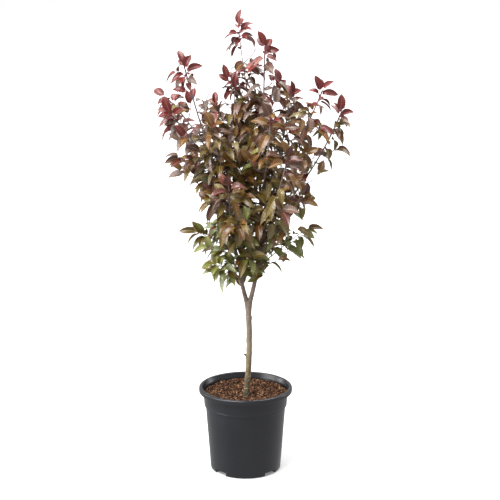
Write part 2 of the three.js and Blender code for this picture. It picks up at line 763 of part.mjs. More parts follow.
// Side twigs leave the shoot by the golden angle, shorter towards its tip
function sideTwigs(shoot, start, random) {
  const path = shoot.twig;
  const twigs = [];
  const phase = 360 * random();
  const room = path.length - UNBRANCHED_TIP - start;
  const count = Math.max(0, Math.round(room / TWIG_SPACING));
  for (let k = 0; k < count; k += 1) {
    const distance = start + TWIG_FIRST + TWIG_SPACING * (k + TWIG_VARIES * random());
    const share = (distance - start) / room;
    const full = TWIG_LENGTH * (1 - TWIG_SHORTENS * share) * (TWIG_LEAST + TWIG_VARIES * random());
    const base = placeOn(path, distance);
    const along = directionOn(path, distance);
    for (let attempt = 0; attempt < TRIES; attempt += 1) {
      const outward = leaned(along, phase + GOLDEN_ANGLE * k + TWIG_TURN * attempt, 90);
      const twigPath = bentTwig(base, outward, along, full * (1 - TWIG_SHRINK * attempt));
      if (twigFits(twigPath, shoot)) {
        twigs.push({ path: twigPath, start: TWIG_BARE, tipLeaves: SIDE_TIP_LEAVES });
        break;
      }
    }
  }
  return twigs;
}

// All twigs and leaves of one mass
function growMass(shoot) {
  const random = generator(shoot.seed);
  const start = shoot.bareTwig + ROOT_CLEARANCE;
  const main = { path: shoot.twig, start, tipLeaves: TIP_LEAVES };
  const twigs = sideTwigs(shoot, start, random);
  const leaves = [];
  const allTwigs = [main, ...twigs];
  for (const twig of allTwigs) {
    layLeaves(twig, shoot, leaves, allTwigs, random);
  }
  return { twigs, leaves };
}

// A leaf's solid: eight faces, folded along its middle and arched
function leafSolid(leaf) {
  const geometry = new THREE.OctahedronGeometry(1, 0);
  const position = geometry.attributes.position;
  const rib = leaf.base.clone().lerp(leaf.middle, LEAF_RIB);
  const top = rib.clone().addScaledVector(leaf.normal, LEAF_THICKNESS / 2);
  const under = rib.clone().addScaledVector(leaf.normal, -LEAF_THICKNESS / 2);
  for (let i = 0; i < position.count; i += 1) {
    const x = Math.round(position.getX(i));
    const y = Math.round(position.getY(i));
    const z = Math.round(position.getZ(i));
    let place = z > 0 ? top : under;
    if (x !== 0) {
      place = x > 0 ? leaf.right : leaf.left;
    } else if (y !== 0) {
      place = y > 0 ? leaf.tip : leaf.base;
    }
    position.setXYZ(i, place.x, place.y, place.z);
  }
  return toSolid(geometry);
}

// A mass of foliage: its twigs and leaves fused into one body
function massSolid(shoot) {
  const { twigs, leaves } = growMass(shoot);
  const mainRadius = shoot.top ? STEM_END_RADIUS : BOUGH_END_RADIUS;
  let mass = limbSolid(shoot.twig, taper(mainRadius, TWIG_END_RADIUS), TWIG_SIDES);
  for (const twig of twigs) {
    mass = mass.add(limbSolid(twig.path, taper(SIDE_TWIG_RADIUS, TWIG_END_RADIUS), TWIG_SIDES));
  }
  if (shoot.limbEnd === 0) {
    mass = mass.subtract(stemsGrown[shoot.stem]);
  }
  mass = mainBody(mass);
  for (const leaf of leaves) {
    const fused = mainBody(mass.add(leafSolid(leaf)));
    if (closesCleanly(toGeometry(fused))) {
      mass = fused;
    }
  }
  return mass;
}

// Whether each edge of a body has exactly two faces: a leaf that makes another kind is left out
function closesCleanly(geometry) {
  const corners = geometry.index.array;
  const uses = new Map();
  for (let i = 0; i < corners.length; i += 1) {
    const ends = [corners[i], corners[i % 3 === 2 ? i - 2 : i + 1]];
    const edge = `${Math.min(...ends)} ${Math.max(...ends)}`;
    uses.set(edge, (uses.get(edge) ?? 0) + 1);
  }
  return [...uses.values()].every((count) => count === 2);
}

// The plant is put together: pot, soil, trunk, stems, boughs, then the foliage
const plant = new THREE.Group();
plant.add(named('pot', potSolid(), POT_FINISH));
plant.add(named('soil', soilSolid(), SOIL_FINISH));

const trunkGrown = trunkLimb(SEAT);
const stemsGrown = { left: stemSolid(stems.left, SEAT), right: stemSolid(stems.right, SEAT) };
const rightStem = stemSolid(stems.right, 0).subtract(trunkGrown);
const leftStem = stemSolid(stems.left, 0).subtract(trunkGrown).subtract(stemsGrown.right);
plant.add(named('trunk', levelCut(trunkSolid(), SOIL_AT_TRUNK + SEAT), BARK_FINISH));
plant.add(named('right_stem', mainBody(rightStem), BARK_FINISH));
plant.add(named('left_stem', mainBody(leftStem), BARK_FINISH));

for (const shoot of shoots) {
  if (shoot.limbEnd > 0 && !shoot.top) {
    const boughPath = stretchOf(shoot.path, 0, shoot.limbEnd, BOUGH_STEPS);
    const bough = limbSolid(boughPath, taper(shoot.radius, BOUGH_END_RADIUS), BOUGH_SIDES)
      .subtract(stemsGrown[shoot.stem]);
    plant.add(named(`bough_${shoot.name}`, mainBody(bough), BARK_FINISH));
  }
}

for (const shoot of shoots) {
  plant.add(named(`foliage_${shoot.name}`, massSolid(shoot), LEAF_FINISH));
}

export default plant;
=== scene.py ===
import math

import bpy
import numpy as np
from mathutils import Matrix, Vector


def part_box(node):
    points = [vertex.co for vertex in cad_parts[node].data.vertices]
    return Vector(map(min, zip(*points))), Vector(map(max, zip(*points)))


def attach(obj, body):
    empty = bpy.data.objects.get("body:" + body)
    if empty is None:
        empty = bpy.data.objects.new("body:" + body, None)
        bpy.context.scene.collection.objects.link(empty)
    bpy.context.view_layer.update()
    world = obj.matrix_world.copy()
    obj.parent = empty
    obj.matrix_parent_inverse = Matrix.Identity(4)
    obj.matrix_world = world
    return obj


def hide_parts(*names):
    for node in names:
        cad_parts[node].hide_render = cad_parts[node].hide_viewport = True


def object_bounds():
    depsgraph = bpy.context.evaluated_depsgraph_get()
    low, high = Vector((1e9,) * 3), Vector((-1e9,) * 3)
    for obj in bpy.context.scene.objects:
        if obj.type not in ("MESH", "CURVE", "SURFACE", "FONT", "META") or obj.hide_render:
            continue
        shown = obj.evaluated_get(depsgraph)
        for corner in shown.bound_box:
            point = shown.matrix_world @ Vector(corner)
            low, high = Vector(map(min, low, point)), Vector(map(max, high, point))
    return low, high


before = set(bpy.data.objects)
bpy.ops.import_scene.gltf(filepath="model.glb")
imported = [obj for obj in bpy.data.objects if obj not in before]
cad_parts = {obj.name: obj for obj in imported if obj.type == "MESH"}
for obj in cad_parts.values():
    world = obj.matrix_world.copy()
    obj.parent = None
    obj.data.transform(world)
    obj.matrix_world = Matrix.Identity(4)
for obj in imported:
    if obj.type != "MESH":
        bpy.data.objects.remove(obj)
cad_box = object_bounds()

# Pot. A round 12 litre nursery pot of black plastic, moulded in one piece: a rolled lip, a
# collar that steps in to the wall, a ring line round it, four notches cut out of the foot
# and drain holes in the floor. It stands on its flat underside.
MM = 0.001
LIP_RADIUS = 150
LIP_HEIGHT = 16
LIP_MOUTH_RADIUS = 139.4
POT_HEIGHT = 272
COLLAR_TOP_RADIUS = 136.5
COLLAR_FOOT_RADIUS = 133
COLLAR_FOOT_HEIGHT = 212
WALL_TOP_RADIUS = 129
FOOT_RADIUS = 113.3
FLOOR_RADIUS = 111.1
WALL = 2.6
FLOOR = 3.5
FOOT_ROUND = 2.2
COLLAR_FOOT_ROUND = 1
LIP_FOOT_ROUND = 2.5
LIP_ROUND = 5
MOUTH_ROUND = 2.5
WALL_RING_HEIGHTS = (4, 7, 10, 14, 20, 45, 75, 105, 135, 165, 190, 207)
COLLAR_RING_HEIGHTS = (225, 235, 245)
RING_LINE_HEIGHT = 217
RING_LINE = ((-1.6, 0), (-0.6, 0.5), (0.6, 0.5), (1.6, 0))
NOTCH_WIDTH = 46
NOTCH_HEIGHT = 11.5
NOTCH_DEPTH = 22
NOTCH_AZIMUTHS = (45, 135, 225, 315)
POT_SIDES = 288
POT_CREASE = 35
DRAIN_HOLES = 6
DRAIN_HOLE_RADIUS = 7
DRAIN_CIRCLE_RADIUS = 62
DRAIN_SIDES = 32
CUT_BEYOND = 2
BOX_FACES = np.array([(0, 1, 3, 2), (4, 6, 7, 5), (0, 4, 5, 1), (2, 3, 7, 6), (0, 2, 6, 4), (1, 5, 7, 3)])
POT_BLACK = "#14151b"
POT_GREY = "#1d1e25"


def linear(tone):
    """A colour as the renderer takes it, from its written form."""
    parts = [int(tone[i:i + 2], 16) / 255 for i in (1, 3, 5)]
    return tuple(c / 12.92 if c <= 0.04045 else ((c + 0.055) / 1.055) ** 2.4 for c in parts) + (1.0,)


def grey(level):
    return (level, level, level, 1.0)


def new_finish(name, roughness):
    """A finish with its nodes, ready for the patterns of one material."""
    finish = bpy.data.materials.new(name)
    finish.use_nodes = True
    nodes = finish.node_tree.nodes
    shader = nodes["Principled BSDF"]
    shader.inputs["Roughness"].default_value = roughness
    place = nodes.new("ShaderNodeTexCoord")
    return finish, nodes, finish.node_tree.links, shader, place.outputs["Object"]


def tone_ramp(nodes, stops):
    """A ramp through the given stops of share and colour."""
    ramp = nodes.new("ShaderNodeValToRGB")
    while len(ramp.color_ramp.elements) < len(stops):
        ramp.color_ramp.elements.new(0.5)
    for element, (share, colour) in zip(ramp.color_ramp.elements, stops):
        element.position = share
        element.color = colour
    return ramp


def mottled(nodes, links, place, scale, stops, detail=4.0, stretch=(1, 1, 1)):
    """A cloudy pattern that runs through the given stops of share and colour."""
    mapping = nodes.new("ShaderNodeMapping")
    mapping.inputs["Scale"].default_value = stretch
    links.new(place, mapping.inputs["Vector"])
    noise = nodes.new("ShaderNodeTexNoise")
    noise.inputs["Scale"].default_value = scale
    noise.inputs["Detail"].default_value = detail
    links.new(mapping.outputs["Vector"], noise.inputs["Vector"])
    ramp = tone_ramp(nodes, stops)
    links.new(noise.outputs["Fac"], ramp.inputs["Fac"])
    return ramp.outputs["Color"], noise.outputs["Fac"]


def grained(nodes, links, shader, height, strength, distance):
    """A fine relief from a pattern."""
    bump = nodes.new("ShaderNodeBump")
    bump.inputs["Strength"].default_value = strength
    bump.inputs["Distance"].default_value = distance
    links.new(height, bump.inputs["Height"])
    links.new(bump.outputs["Normal"], shader.inputs["Normal"])


class Heap:
    """Small meshes in millimetres, gathered into one piece."""

    def __init__(self):
        self.corners, self.faces, self.finishes, self.count = [], [], [], 0

    def add(self, corners, *faces, finish=0):
        """Corners, and arrays of three- or four-sided faces, of one finish or one a face."""
        finish = np.broadcast_to(finish, sum(len(some) for some in faces))
        done = 0
        for some in faces:
            self.faces.append(np.asarray(some, int) + self.count)
            self.finishes.append(finish[done:done + len(some)])
            done += len(some)
        self.corners.append(np.asarray(corners, float))
        self.count += len(corners)

    def make(self, name, materials, crease=50):
        """The piece, smooth but for edges that turn by more than its crease."""
        mesh = bpy.data.meshes.new(name)
        corners = np.vstack(self.corners) * MM
        totals = np.concatenate([np.full(len(f), f.shape[1]) for f in self.faces])
        around = np.concatenate([f.ravel() for f in self.faces])
        mesh.vertices.add(len(corners))
        mesh.vertices.foreach_set("co", corners.ravel())
        mesh.loops.add(len(around))
        mesh.loops.foreach_set("vertex_index", around.astype(np.int32))
        mesh.polygons.add(len(totals))
        starts = np.concatenate([[0], np.cumsum(totals)[:-1]])
        mesh.polygons.foreach_set("loop_start", starts.astype(np.int32))
        for material in materials:
            mesh.materials.append(material)
        mesh.polygons.foreach_set("material_index", np.concatenate(self.finishes).astype(np.int32))
        mesh.update(calc_edges=True)
        mesh.validate()
        mesh.shade_smooth()
        mesh.set_sharp_from_angle(angle=math.radians(crease))
        piece = bpy.data.objects.new(name, mesh)
        bpy.context.scene.collection.objects.link(piece)
        return piece


def arc(radius, height, bend, start, end, steps=5):
    """A round stretch of an outline about a centre, as radius and height."""
    turns = np.radians(np.linspace(start, end, steps + 1))
    return [(radius + bend * math.cos(a), height + bend * math.sin(a)) for a in turns]


def ring_quads(rings, sides):
    """Four-sided faces between rings of corners that follow one another."""
    here = np.arange(sides)
    after = (here + 1) % sides
    rows = (np.arange(rings - 1) * sides)[:, None]
    quads = np.stack([rows + here, rows + after, rows + sides + after, rows + sides + here], axis=2)
    return quads.reshape(-1, 4)


def end_fans(rings, sides):
    """Three-sided faces that close both ends, round two corners that come after the rings."""
    here = np.arange(sides)
    after = (here + 1) % sides
    last = (rings - 1) * sides
    middles = np.full(sides, rings * sides)
    return np.vstack([np.stack([middles, after, here], axis=1),
                      np.stack([middles + 1, last + here, last + after], axis=1)])


def turned(outline, sides):
    """An outline turned about the upright axis, its two ends on the axis."""
    rings = np.array(outline[1:-1], float)
    turns = np.linspace(0, 2 * math.pi, sides, endpoint=False)
    grid = np.stack([np.outer(rings[:, 0], np.cos(turns)), np.outer(rings[:, 0], np.sin(turns)),
                     np.repeat(rings[:, 1:], sides, axis=1)], axis=2)
    corners = np.vstack([grid.reshape(-1, 3), [0, 0, outline[0][1]], [0, 0, outline[-1][1]]])
    return corners, ring_quads(len(rings), sides), end_fans(len(rings), sides)


def collar_radius(height):
    rise = (height - COLLAR_FOOT_HEIGHT) / (POT_HEIGHT - LIP_HEIGHT - COLLAR_FOOT_HEIGHT)
    return COLLAR_FOOT_RADIUS + (COLLAR_TOP_RADIUS - COLLAR_FOOT_RADIUS) * rise


def wall_radius(height):
    return FOOT_RADIUS + (WALL_TOP_RADIUS - FOOT_RADIUS) * height / COLLAR_FOOT_HEIGHT


def pot_outline():
    """From the middle of the underside, up the outside, over the lip and down to the floor."""
    lip_foot = POT_HEIGHT - LIP_HEIGHT
    wall = [(wall_radius(z), z) for z in WALL_RING_HEIGHTS]
    ring_line = [(collar_radius(RING_LINE_HEIGHT + off) - dip, RING_LINE_HEIGHT + off)
                 for off, dip in RING_LINE]
    collar = [(collar_radius(z), z) for z in (*COLLAR_RING_HEIGHTS, lip_foot - 1.5)]
    inner_foot = FOOT_RADIUS - NOTCH_DEPTH - WALL
    inner_shelf = NOTCH_HEIGHT + WALL
    outside = (
        [(0, 0), (inner_foot, 0), (FOOT_RADIUS - FOOT_ROUND, 0)]
        + arc(FOOT_RADIUS - FOOT_ROUND, FOOT_ROUND, FOOT_ROUND, -60, 0, 3) + wall
        + [(WALL_TOP_RADIUS, COLLAR_FOOT_HEIGHT - 2.5)]
        + arc(COLLAR_FOOT_RADIUS - COLLAR_FOOT_ROUND, COLLAR_FOOT_HEIGHT, COLLAR_FOOT_ROUND, -60, 0, 3)
        + ring_line + collar)
    lip = (
        [(COLLAR_TOP_RADIUS + 1.2, lip_foot)]
        + arc(LIP_RADIUS - LIP_FOOT_ROUND, lip_foot + LIP_FOOT_ROUND, LIP_FOOT_ROUND, -90, 0, 4)
        + arc(LIP_RADIUS - LIP_ROUND, POT_HEIGHT - LIP_ROUND, LIP_ROUND, 0, 90, 7)
        + arc(LIP_MOUTH_RADIUS + MOUTH_ROUND, POT_HEIGHT - MOUTH_ROUND, MOUTH_ROUND, 90, 180, 4))
    inside = [
        (COLLAR_TOP_RADIUS - WALL + 1.8, lip_foot + 4), (COLLAR_TOP_RADIUS - WALL, lip_foot - 2),
        (COLLAR_FOOT_RADIUS - WALL, COLLAR_FOOT_HEIGHT), (WALL_TOP_RADIUS - WALL, COLLAR_FOOT_HEIGHT - 6),
        (FLOOR_RADIUS, inner_shelf), (inner_foot, inner_shelf), (inner_foot, FLOOR), (0, FLOOR)]
    return outside + lip + inside


def cut_out(piece, cutter):
    """Takes one mesh out of another and leaves only the result."""
    cut = piece.modifiers.new("cut", "BOOLEAN")
    cut.operation = "DIFFERENCE"
    cut.solver = "EXACT"
    cut.object = cutter
    shapes = bpy.context.evaluated_depsgraph_get()
    mesh = bpy.data.meshes.new_from_object(piece.evaluated_get(shapes))
    piece.modifiers.clear()
    piece.data = mesh
    bpy.data.objects.remove(cutter)


def foot_cutters():
    """Blocks for the four notches and rods for the drain holes."""
    tools = Heap()
    for azimuth in NOTCH_AZIMUTHS:
        turn = math.radians(azimuth)
        outward = np.array([math.cos(turn), math.sin(turn), 0])
        along = np.array([-math.sin(turn), math.cos(turn), 0])
        corners = [outward * r + along * a + [0, 0, z]
                   for r in (FOOT_RADIUS - NOTCH_DEPTH, FOOT_RADIUS + 3 * CUT_BEYOND)
                   for a in (-NOTCH_WIDTH / 2, NOTCH_WIDTH / 2) for z in (-CUT_BEYOND, NOTCH_HEIGHT)]
        tools.add(corners, BOX_FACES)
    rod, walls, caps = turned([
        (0, -CUT_BEYOND), (DRAIN_HOLE_RADIUS, -CUT_BEYOND),
        (DRAIN_HOLE_RADIUS, FLOOR + CUT_BEYOND), (0, FLOOR + CUT_BEYOND)], DRAIN_SIDES)
    for k in range(DRAIN_HOLES):
        turn = 2 * math.pi * k / DRAIN_HOLES
        off = [DRAIN_CIRCLE_RADIUS * math.cos(turn), DRAIN_CIRCLE_RADIUS * math.sin(turn), 0]
        tools.add(rod + off, walls, caps)
    return tools.make("foot_cutters", [])


def pot_plastic():
    finish, nodes, links, shader, place = new_finish("black_pot_plastic", 0.36)
    colour, _ = mottled(nodes, links, place, 9, [(0.3, linear(POT_BLACK)), (0.75, linear(POT_GREY))])
    links.new(colour, shader.inputs["Base Color"])
    shine, _ = mottled(nodes, links, place, 30, [(0.3, grey(0.25)), (0.7, grey(0.37))], stretch=(1, 1, 0.25))
    links.new(shine, shader.inputs["Roughness"])
    shader.inputs["Specular IOR Level"].default_value = 0.6
    _, grain = mottled(nodes, links, place, 900, [(0, grey(0)), (1, grey(1))])
    grained(nodes, links, shader, grain, 0.12, 0.0004)
    return finish


shell = Heap()
shell.add(*turned(pot_outline(), POT_SIDES))
pot = shell.make("nursery_pot", [pot_plastic()], crease=POT_CREASE)
cut_out(pot, foot_cutters())
pot.data.shade_smooth()
pot.data.set_sharp_from_angle(angle=math.radians(POT_CREASE))
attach(pot, "root")
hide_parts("pot")

# Soil. Potting compost that fills the pot to a few fingers below the lip, a little lower
# round the trunk, under a loose cover of fine bark chips with some tan ones and a few
# white grains.
COMPOST_UNDER = [(0, 16.5), (106, 16.5), (108, 20), (125.6, 205), (129.6, 213.5)]
COMPOST_TOP = [(132.4, 250), (126, 250.2), (104, 248.6), (82, 247), (60, 244.6), (34, 241.4), (0, 241)]
COMPOST_STEP = 3.5
COMPOST_SIDES = 240
LUMPS_FROM = 236
LUMPS_FADE = 4
LUMPS = ((1.1, 26, 11), (0.8, 9, 12))
CALM_RIM_RADIUS = 132
CALM_RIM_WIDTH = 6
CHIPS = 6400
CHIPS_RADIUS = 129.5
SHORTEST_CHIP = 2.8
LONGER_BY = 8.5
MANY_SHORT = 2.6
CHIP_THICKNESS = (1.2, 2.8)
CHIP_TONES = ("#503426", "#6d4b37", "#1f140f", "#9d7856", "#553928")
CHIP_SHARES = (0.24, 0.2, 0.32, 0.12, 0.12)
GRAINS = 26
GRAINS_RADIUS = 126
GRAIN_SIZE = np.array([2.4, 2.0, 1.6])
GRAIN_TONE = "#bfb7a8"


def wave_noise(points, size, seed, waves=14):
    """A smooth seeded unevenness from -1 to 1, over points and a size in millimetres."""
    chance = np.random.default_rng(seed)
    ways = chance.normal(size=(waves, 3))
    ways *= (chance.uniform(0.6, 1.5, waves) * 2 * math.pi / size / np.linalg.norm(ways, axis=1))[:, None]
    return np.cos(points @ ways.T + chance.uniform(0, 2 * math.pi, waves)).sum(axis=1) / waves ** 0.5 / 1.5


def smooth_outline(outline, step):
    """An outline with points added until none are further apart than the step."""
    points = [outline[0]]
    for a, b in zip(outline, outline[1:]):
        count = max(1, math.ceil(math.dist(a, b) / step))
        points += [(a[0] + (b[0] - a[0]) * k / count, a[1] + (b[1] - a[1]) * k / count)
                   for k in range(1, count + 1)]
    return points


def swells(points, rows):
    """The sum of several unevennesses, each of a depth, a size and a seed."""
    return sum(depth * wave_noise(points, size, seed) for depth, size, seed in rows)


def on_compost(radius, turn, lift):
    """A place so far over the compost's top."""
    top = sorted(COMPOST_TOP)
    height = np.interp(radius, [r for r, _ in top], [z for _, z in top])
    return [radius * math.cos(turn), radius * math.sin(turn), height + lift]


def spot(chance, widest, inmost):
    """A random spot on the disc of compost, as radius and turn."""
    return widest * math.sqrt(chance.uniform(inmost, 1)), chance.uniform(0, 2 * math.pi)


def compost_finish():
    finish, nodes, links, shader, place = new_finish("potting_compost", 0.95)
    colour, grain = mottled(nodes, links, place, 260, [
        (0.3, linear("#120c08")), (0.5, linear("#1e1510")), (0.7, linear("#33251b"))], detail=6)
    links.new(colour, shader.inputs["Base Color"])
    shader.inputs["Specular IOR Level"].default_value = 0.15
    grained(nodes, links, shader, grain, 0.8, 0.002)
    return finish


def chip_finish(name, tone):
    finish, nodes, links, shader, place = new_finish(name, 0.9)
    base = np.array(linear(tone)[:3])
    colour, _ = mottled(nodes, links, place, 420, [
        (0.3, tuple(base * 0.7) + (1.0,)), (0.65, tuple(base * 1.2) + (1.0,))], stretch=(1, 1, 2))
    links.new(colour, shader.inputs["Base Color"])
    shader.inputs["Specular IOR Level"].default_value = 0.15
    return finish


def chip_corners(chance, size):
    """A rough splinter: a block whose corners are pulled about and whose ends narrow."""
    block = np.array([(x, y, z) for x in (-0.5, 0.5) for y in (-0.5, 0.5) for z in (-0.5, 0.5)])
    block += chance.uniform(-0.16, 0.16, block.shape)
    turn, tilt, lean = chance.uniform(0, 2 * math.pi), chance.normal(0, 0.42), chance.normal(0, 0.35)
    c, s = math.cos(turn), math.sin(turn)
    flat = np.array([(c, -s, 0), (s, c, 0), (0, 0, 1)])
    ct, st, cl, sl = math.cos(tilt), math.sin(tilt), math.cos(lean), math.sin(lean)
    tilted = np.array([(ct, 0, st), (0, 1, 0), (-st, 0, ct)])
    leaning = np.array([(1, 0, 0), (0, cl, -sl), (0, sl, cl)])
    return block * size @ (tilted @ leaning).T @ flat.T


ground = Heap()
ground.add(*turned(smooth_outline(COMPOST_UNDER + COMPOST_TOP, COMPOST_STEP), COMPOST_SIDES))
skin = ground.corners[0]
near_top = np.clip((skin[:, 2] - LUMPS_FROM) / LUMPS_FADE, 0, 1)
off_wall = np.clip((CALM_RIM_RADIUS - np.hypot(skin[:, 0], skin[:, 1])) / CALM_RIM_WIDTH, 0, 1)
skin[:, 2] += swells(skin, LUMPS) * near_top * off_wall
compost = ground.make("potting_compost", [compost_finish()])

litter = Heap()
chance = np.random.default_rng(2207)
for k in range(CHIPS):
    radius, turn = spot(chance, CHIPS_RADIUS, 0.012)
    long = SHORTEST_CHIP + LONGER_BY * chance.uniform() ** MANY_SHORT
    size = np.array([long, long * chance.uniform(0.32, 0.7), chance.uniform(*CHIP_THICKNESS)])
    middle = on_compost(radius, turn, chance.uniform(-0.2, 2.4))
    corners = chip_corners(chance, size) + middle
    litter.add(corners, BOX_FACES, finish=chance.choice(len(CHIP_TONES), p=CHIP_SHARES))
chance = np.random.default_rng(64)
for k in range(GRAINS):
    radius, turn = spot(chance, GRAINS_RADIUS, 0.02)
    middle = on_compost(radius, turn, chance.uniform(1.6, 3))
    size = GRAIN_SIZE * chance.uniform(0.5, 1.25)
    litter.add(chip_corners(chance, size) + middle, BOX_FACES, finish=len(CHIP_TONES))
chip_finishes = [chip_finish(f"bark_chip_{k + 1}", tone) for k, tone in enumerate(CHIP_TONES)]
chips = litter.make("bark_chips", chip_finishes + [chip_finish("white_grain", GRAIN_TONE)], crease=30)
for piece in (compost, chips):
    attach(piece, "root")
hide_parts("soil")

# Trunk. A slim grey-brown trunk, a little bent, from its root flare at the compost to the
# fork. The young bark is smooth with pale cross lines, olive and tan low down and dark at
# the foot, and it keeps the knots of three pruned shoots.
UP = np.array([0.0, 0.0, 1.0])
TRUNK_LINE = [(2, -15, 241.3), (9, -12, 329), (12, -8, 424), (10, -4, 500), (9, 0, 555)]
TRUNK_FOOT_RADIUS = 12.5
TRUNK_RADIUS = 9.5
FORK_RADIUS = 9
FLARE_HEIGHT = 34
FLARE_FADE = 2.5
ROOT_RIDGES = 5
ROOT_RIDGE_DEPTH = 1.9
ROOT_RIDGE_FADE = 13
BURIED = 9
CROTCH = 14
TRUNK_SWELLS = ((0.55, 34, 32), (0.22, 9, 33))
KNOTS = [(374, 185, 3.2), (426, 178, 1.8), (498, 8, 2.0), (543, 14, 2.2), (322, -60, 1.2)]
STUBS = [(374, 185, 8.0, 3.3), (498, 8, 3.8, 2.0), (543, 14, 4.8, 2.3)]
STUB_TONE = "#4a3d33"
STUB_RINGS = 12
STUB_SIDES = 14
TRUNK_SIDES = 56
TRUNK_RING_STEP = 1.1
PORE_LINES = 240


class Path:
    """A line of points with the length run up to each."""

    def __init__(self, points):
        self.points = np.array(points, float)
        steps = np.linalg.norm(np.diff(self.points, axis=0), axis=1)
        self.run = np.concatenate([[0.0], np.cumsum(steps)])
        self.length = float(self.run[-1])

    def place(self, distance):
        i = 1
        while i < len(self.points) - 1 and self.run[i] < distance:
            i += 1
        share = (distance - self.run[i - 1]) / (self.run[i] - self.run[i - 1])
        return self.points[i - 1] + (self.points[i] - self.points[i - 1]) * share

    def direction(self, distance):
        ahead = self.place(distance + 3) - self.place(distance - 3)
        return ahead / np.linalg.norm(ahead)

    def stretch(self, start, end, steps):
        return Path([self.place(start + (end - start) * i / steps) for i in range(steps + 1)])

    def distance_at_height(self, height):
        i = 1
        while i < len(self.points) - 1 and self.points[i][2] < height:
            i += 1
        rise = self.points[i][2] - self.points[i - 1][2]
        share = (height - self.points[i - 1][2]) / rise
        return self.run[i - 1] + share * (self.run[i] - self.run[i - 1])


def eased(t, start, end, pull_start, pull_end):
    """A smooth step from start to end, which leaves and arrives along the two pulls."""
    return ((2 * t**3 - 3 * t**2 + 1) * start + (t**3 - 2 * t**2 + t) * pull_start
            + (3 * t**2 - 2 * t**3) * end + (t**3 - t**2) * pull_end)


def bent_line(line, per_span=6):
    """A smooth line through a few bends."""
    knots = np.array(line, float)
    held = np.vstack([2 * knots[0] - knots[1], knots, 2 * knots[-1] - knots[-2]])
    points = []
    for step in range(per_span * (len(knots) - 1) + 1):
        span = min(step // per_span, len(knots) - 2)
        t = step / per_span - span
        a, b, c, d = held[span:span + 4]
        points.append(eased(t, b, c, 0.5 * (c - a), 0.5 * (d - b)))
    return Path(points)


def unit(vector):
    return vector / np.linalg.norm(vector)


def square_to(direction):
    """Two directions square to a direction."""
    across = np.array([1.0, 0.0, 0.0])
    first = unit(across - direction * np.dot(across, direction))
    return first, np.cross(first, direction)


def smooth_stretch(path, start, end, step):
    """Evenly spaced points along a smooth curve through a path, and their distances."""
    distances = np.linspace(start, end, max(4, int((end - start) / step)) + 1)
    coarse, run = path.points, path.run
    slopes = np.gradient(coarse, run, axis=0)
    at = np.clip(np.searchsorted(run, distances, side="right") - 1, 0, len(run) - 2)
    width = (run[at + 1] - run[at])[:, None]
    t = (distances - run[at])[:, None] / width
    return eased(t, coarse[at], coarse[at + 1], slopes[at] * width, slopes[at + 1] * width), distances


def ring_frames(points):
    """Two directions round each point of a line, turning as little as they can."""
    ways = np.gradient(points, axis=0)
    ways /= np.linalg.norm(ways, axis=1)[:, None]
    side = square_to(ways[0])[0]
    sides = []
    for way in ways:
        side = unit(side - way * np.dot(side, way))
        sides.append(side)
    sides = np.array(sides)
    return sides, np.cross(ways, sides)


def swept(points, radii, sides):
    """A round limb along points, with closed ends; radii are one a ring or one a corner."""
    first, second = ring_frames(points)
    turns = np.linspace(0, 2 * math.pi, sides, endpoint=False)
    radii = np.asarray(radii, float)
    radii = radii[:, None] if radii.ndim == 1 else radii
    grid = points[:, None] + radii[:, :, None] * (
        np.cos(turns)[None, :, None] * first[:, None] + np.sin(turns)[None, :, None] * second[:, None])
    corners = np.vstack([grid.reshape(-1, 3), points[0], points[-1]])
    return corners, ring_quads(len(points), sides), end_fans(len(points), sides)


def roughen(corners, rings, sides, rows):
    """Moves a limb's skin out and in by gentle swells."""
    middles = np.repeat(rings, sides, axis=0)
    skin = corners[:len(middles)]
    away = skin - middles
    away /= np.linalg.norm(away, axis=1)[:, None]
    skin += away * swells(skin, rows)[:, None]


def pore_relief(distances, radii, sides, count, seed):
    """Short raised cross lines of cork, as young cherry bark has, over a limb's rings."""
    chance = np.random.default_rng(seed)
    turns = np.linspace(0, 2 * math.pi, sides, endpoint=False)
    relief = np.zeros((len(distances), sides))
    for _ in range(count):
        at = chance.uniform(distances[0], distances[-1])
        rows = np.flatnonzero(np.abs(distances - at) < 2.5)
        if not len(rows):
            continue
        radius = radii[rows[0]]
        half_wide, half_tall = chance.uniform(1.2, 4.2), chance.uniform(0.45, 0.9)
        across = (turns - chance.uniform(0, 2 * math.pi) + math.pi) % (2 * math.pi) - math.pi
        bulge = np.exp(-(across * radius / half_wide) ** 2)[None] * np.exp(
            -((distances[rows] - at) / half_tall) ** 2)[:, None]
        relief[rows] += chance.uniform(0.2, 0.45) * bulge
    return relief


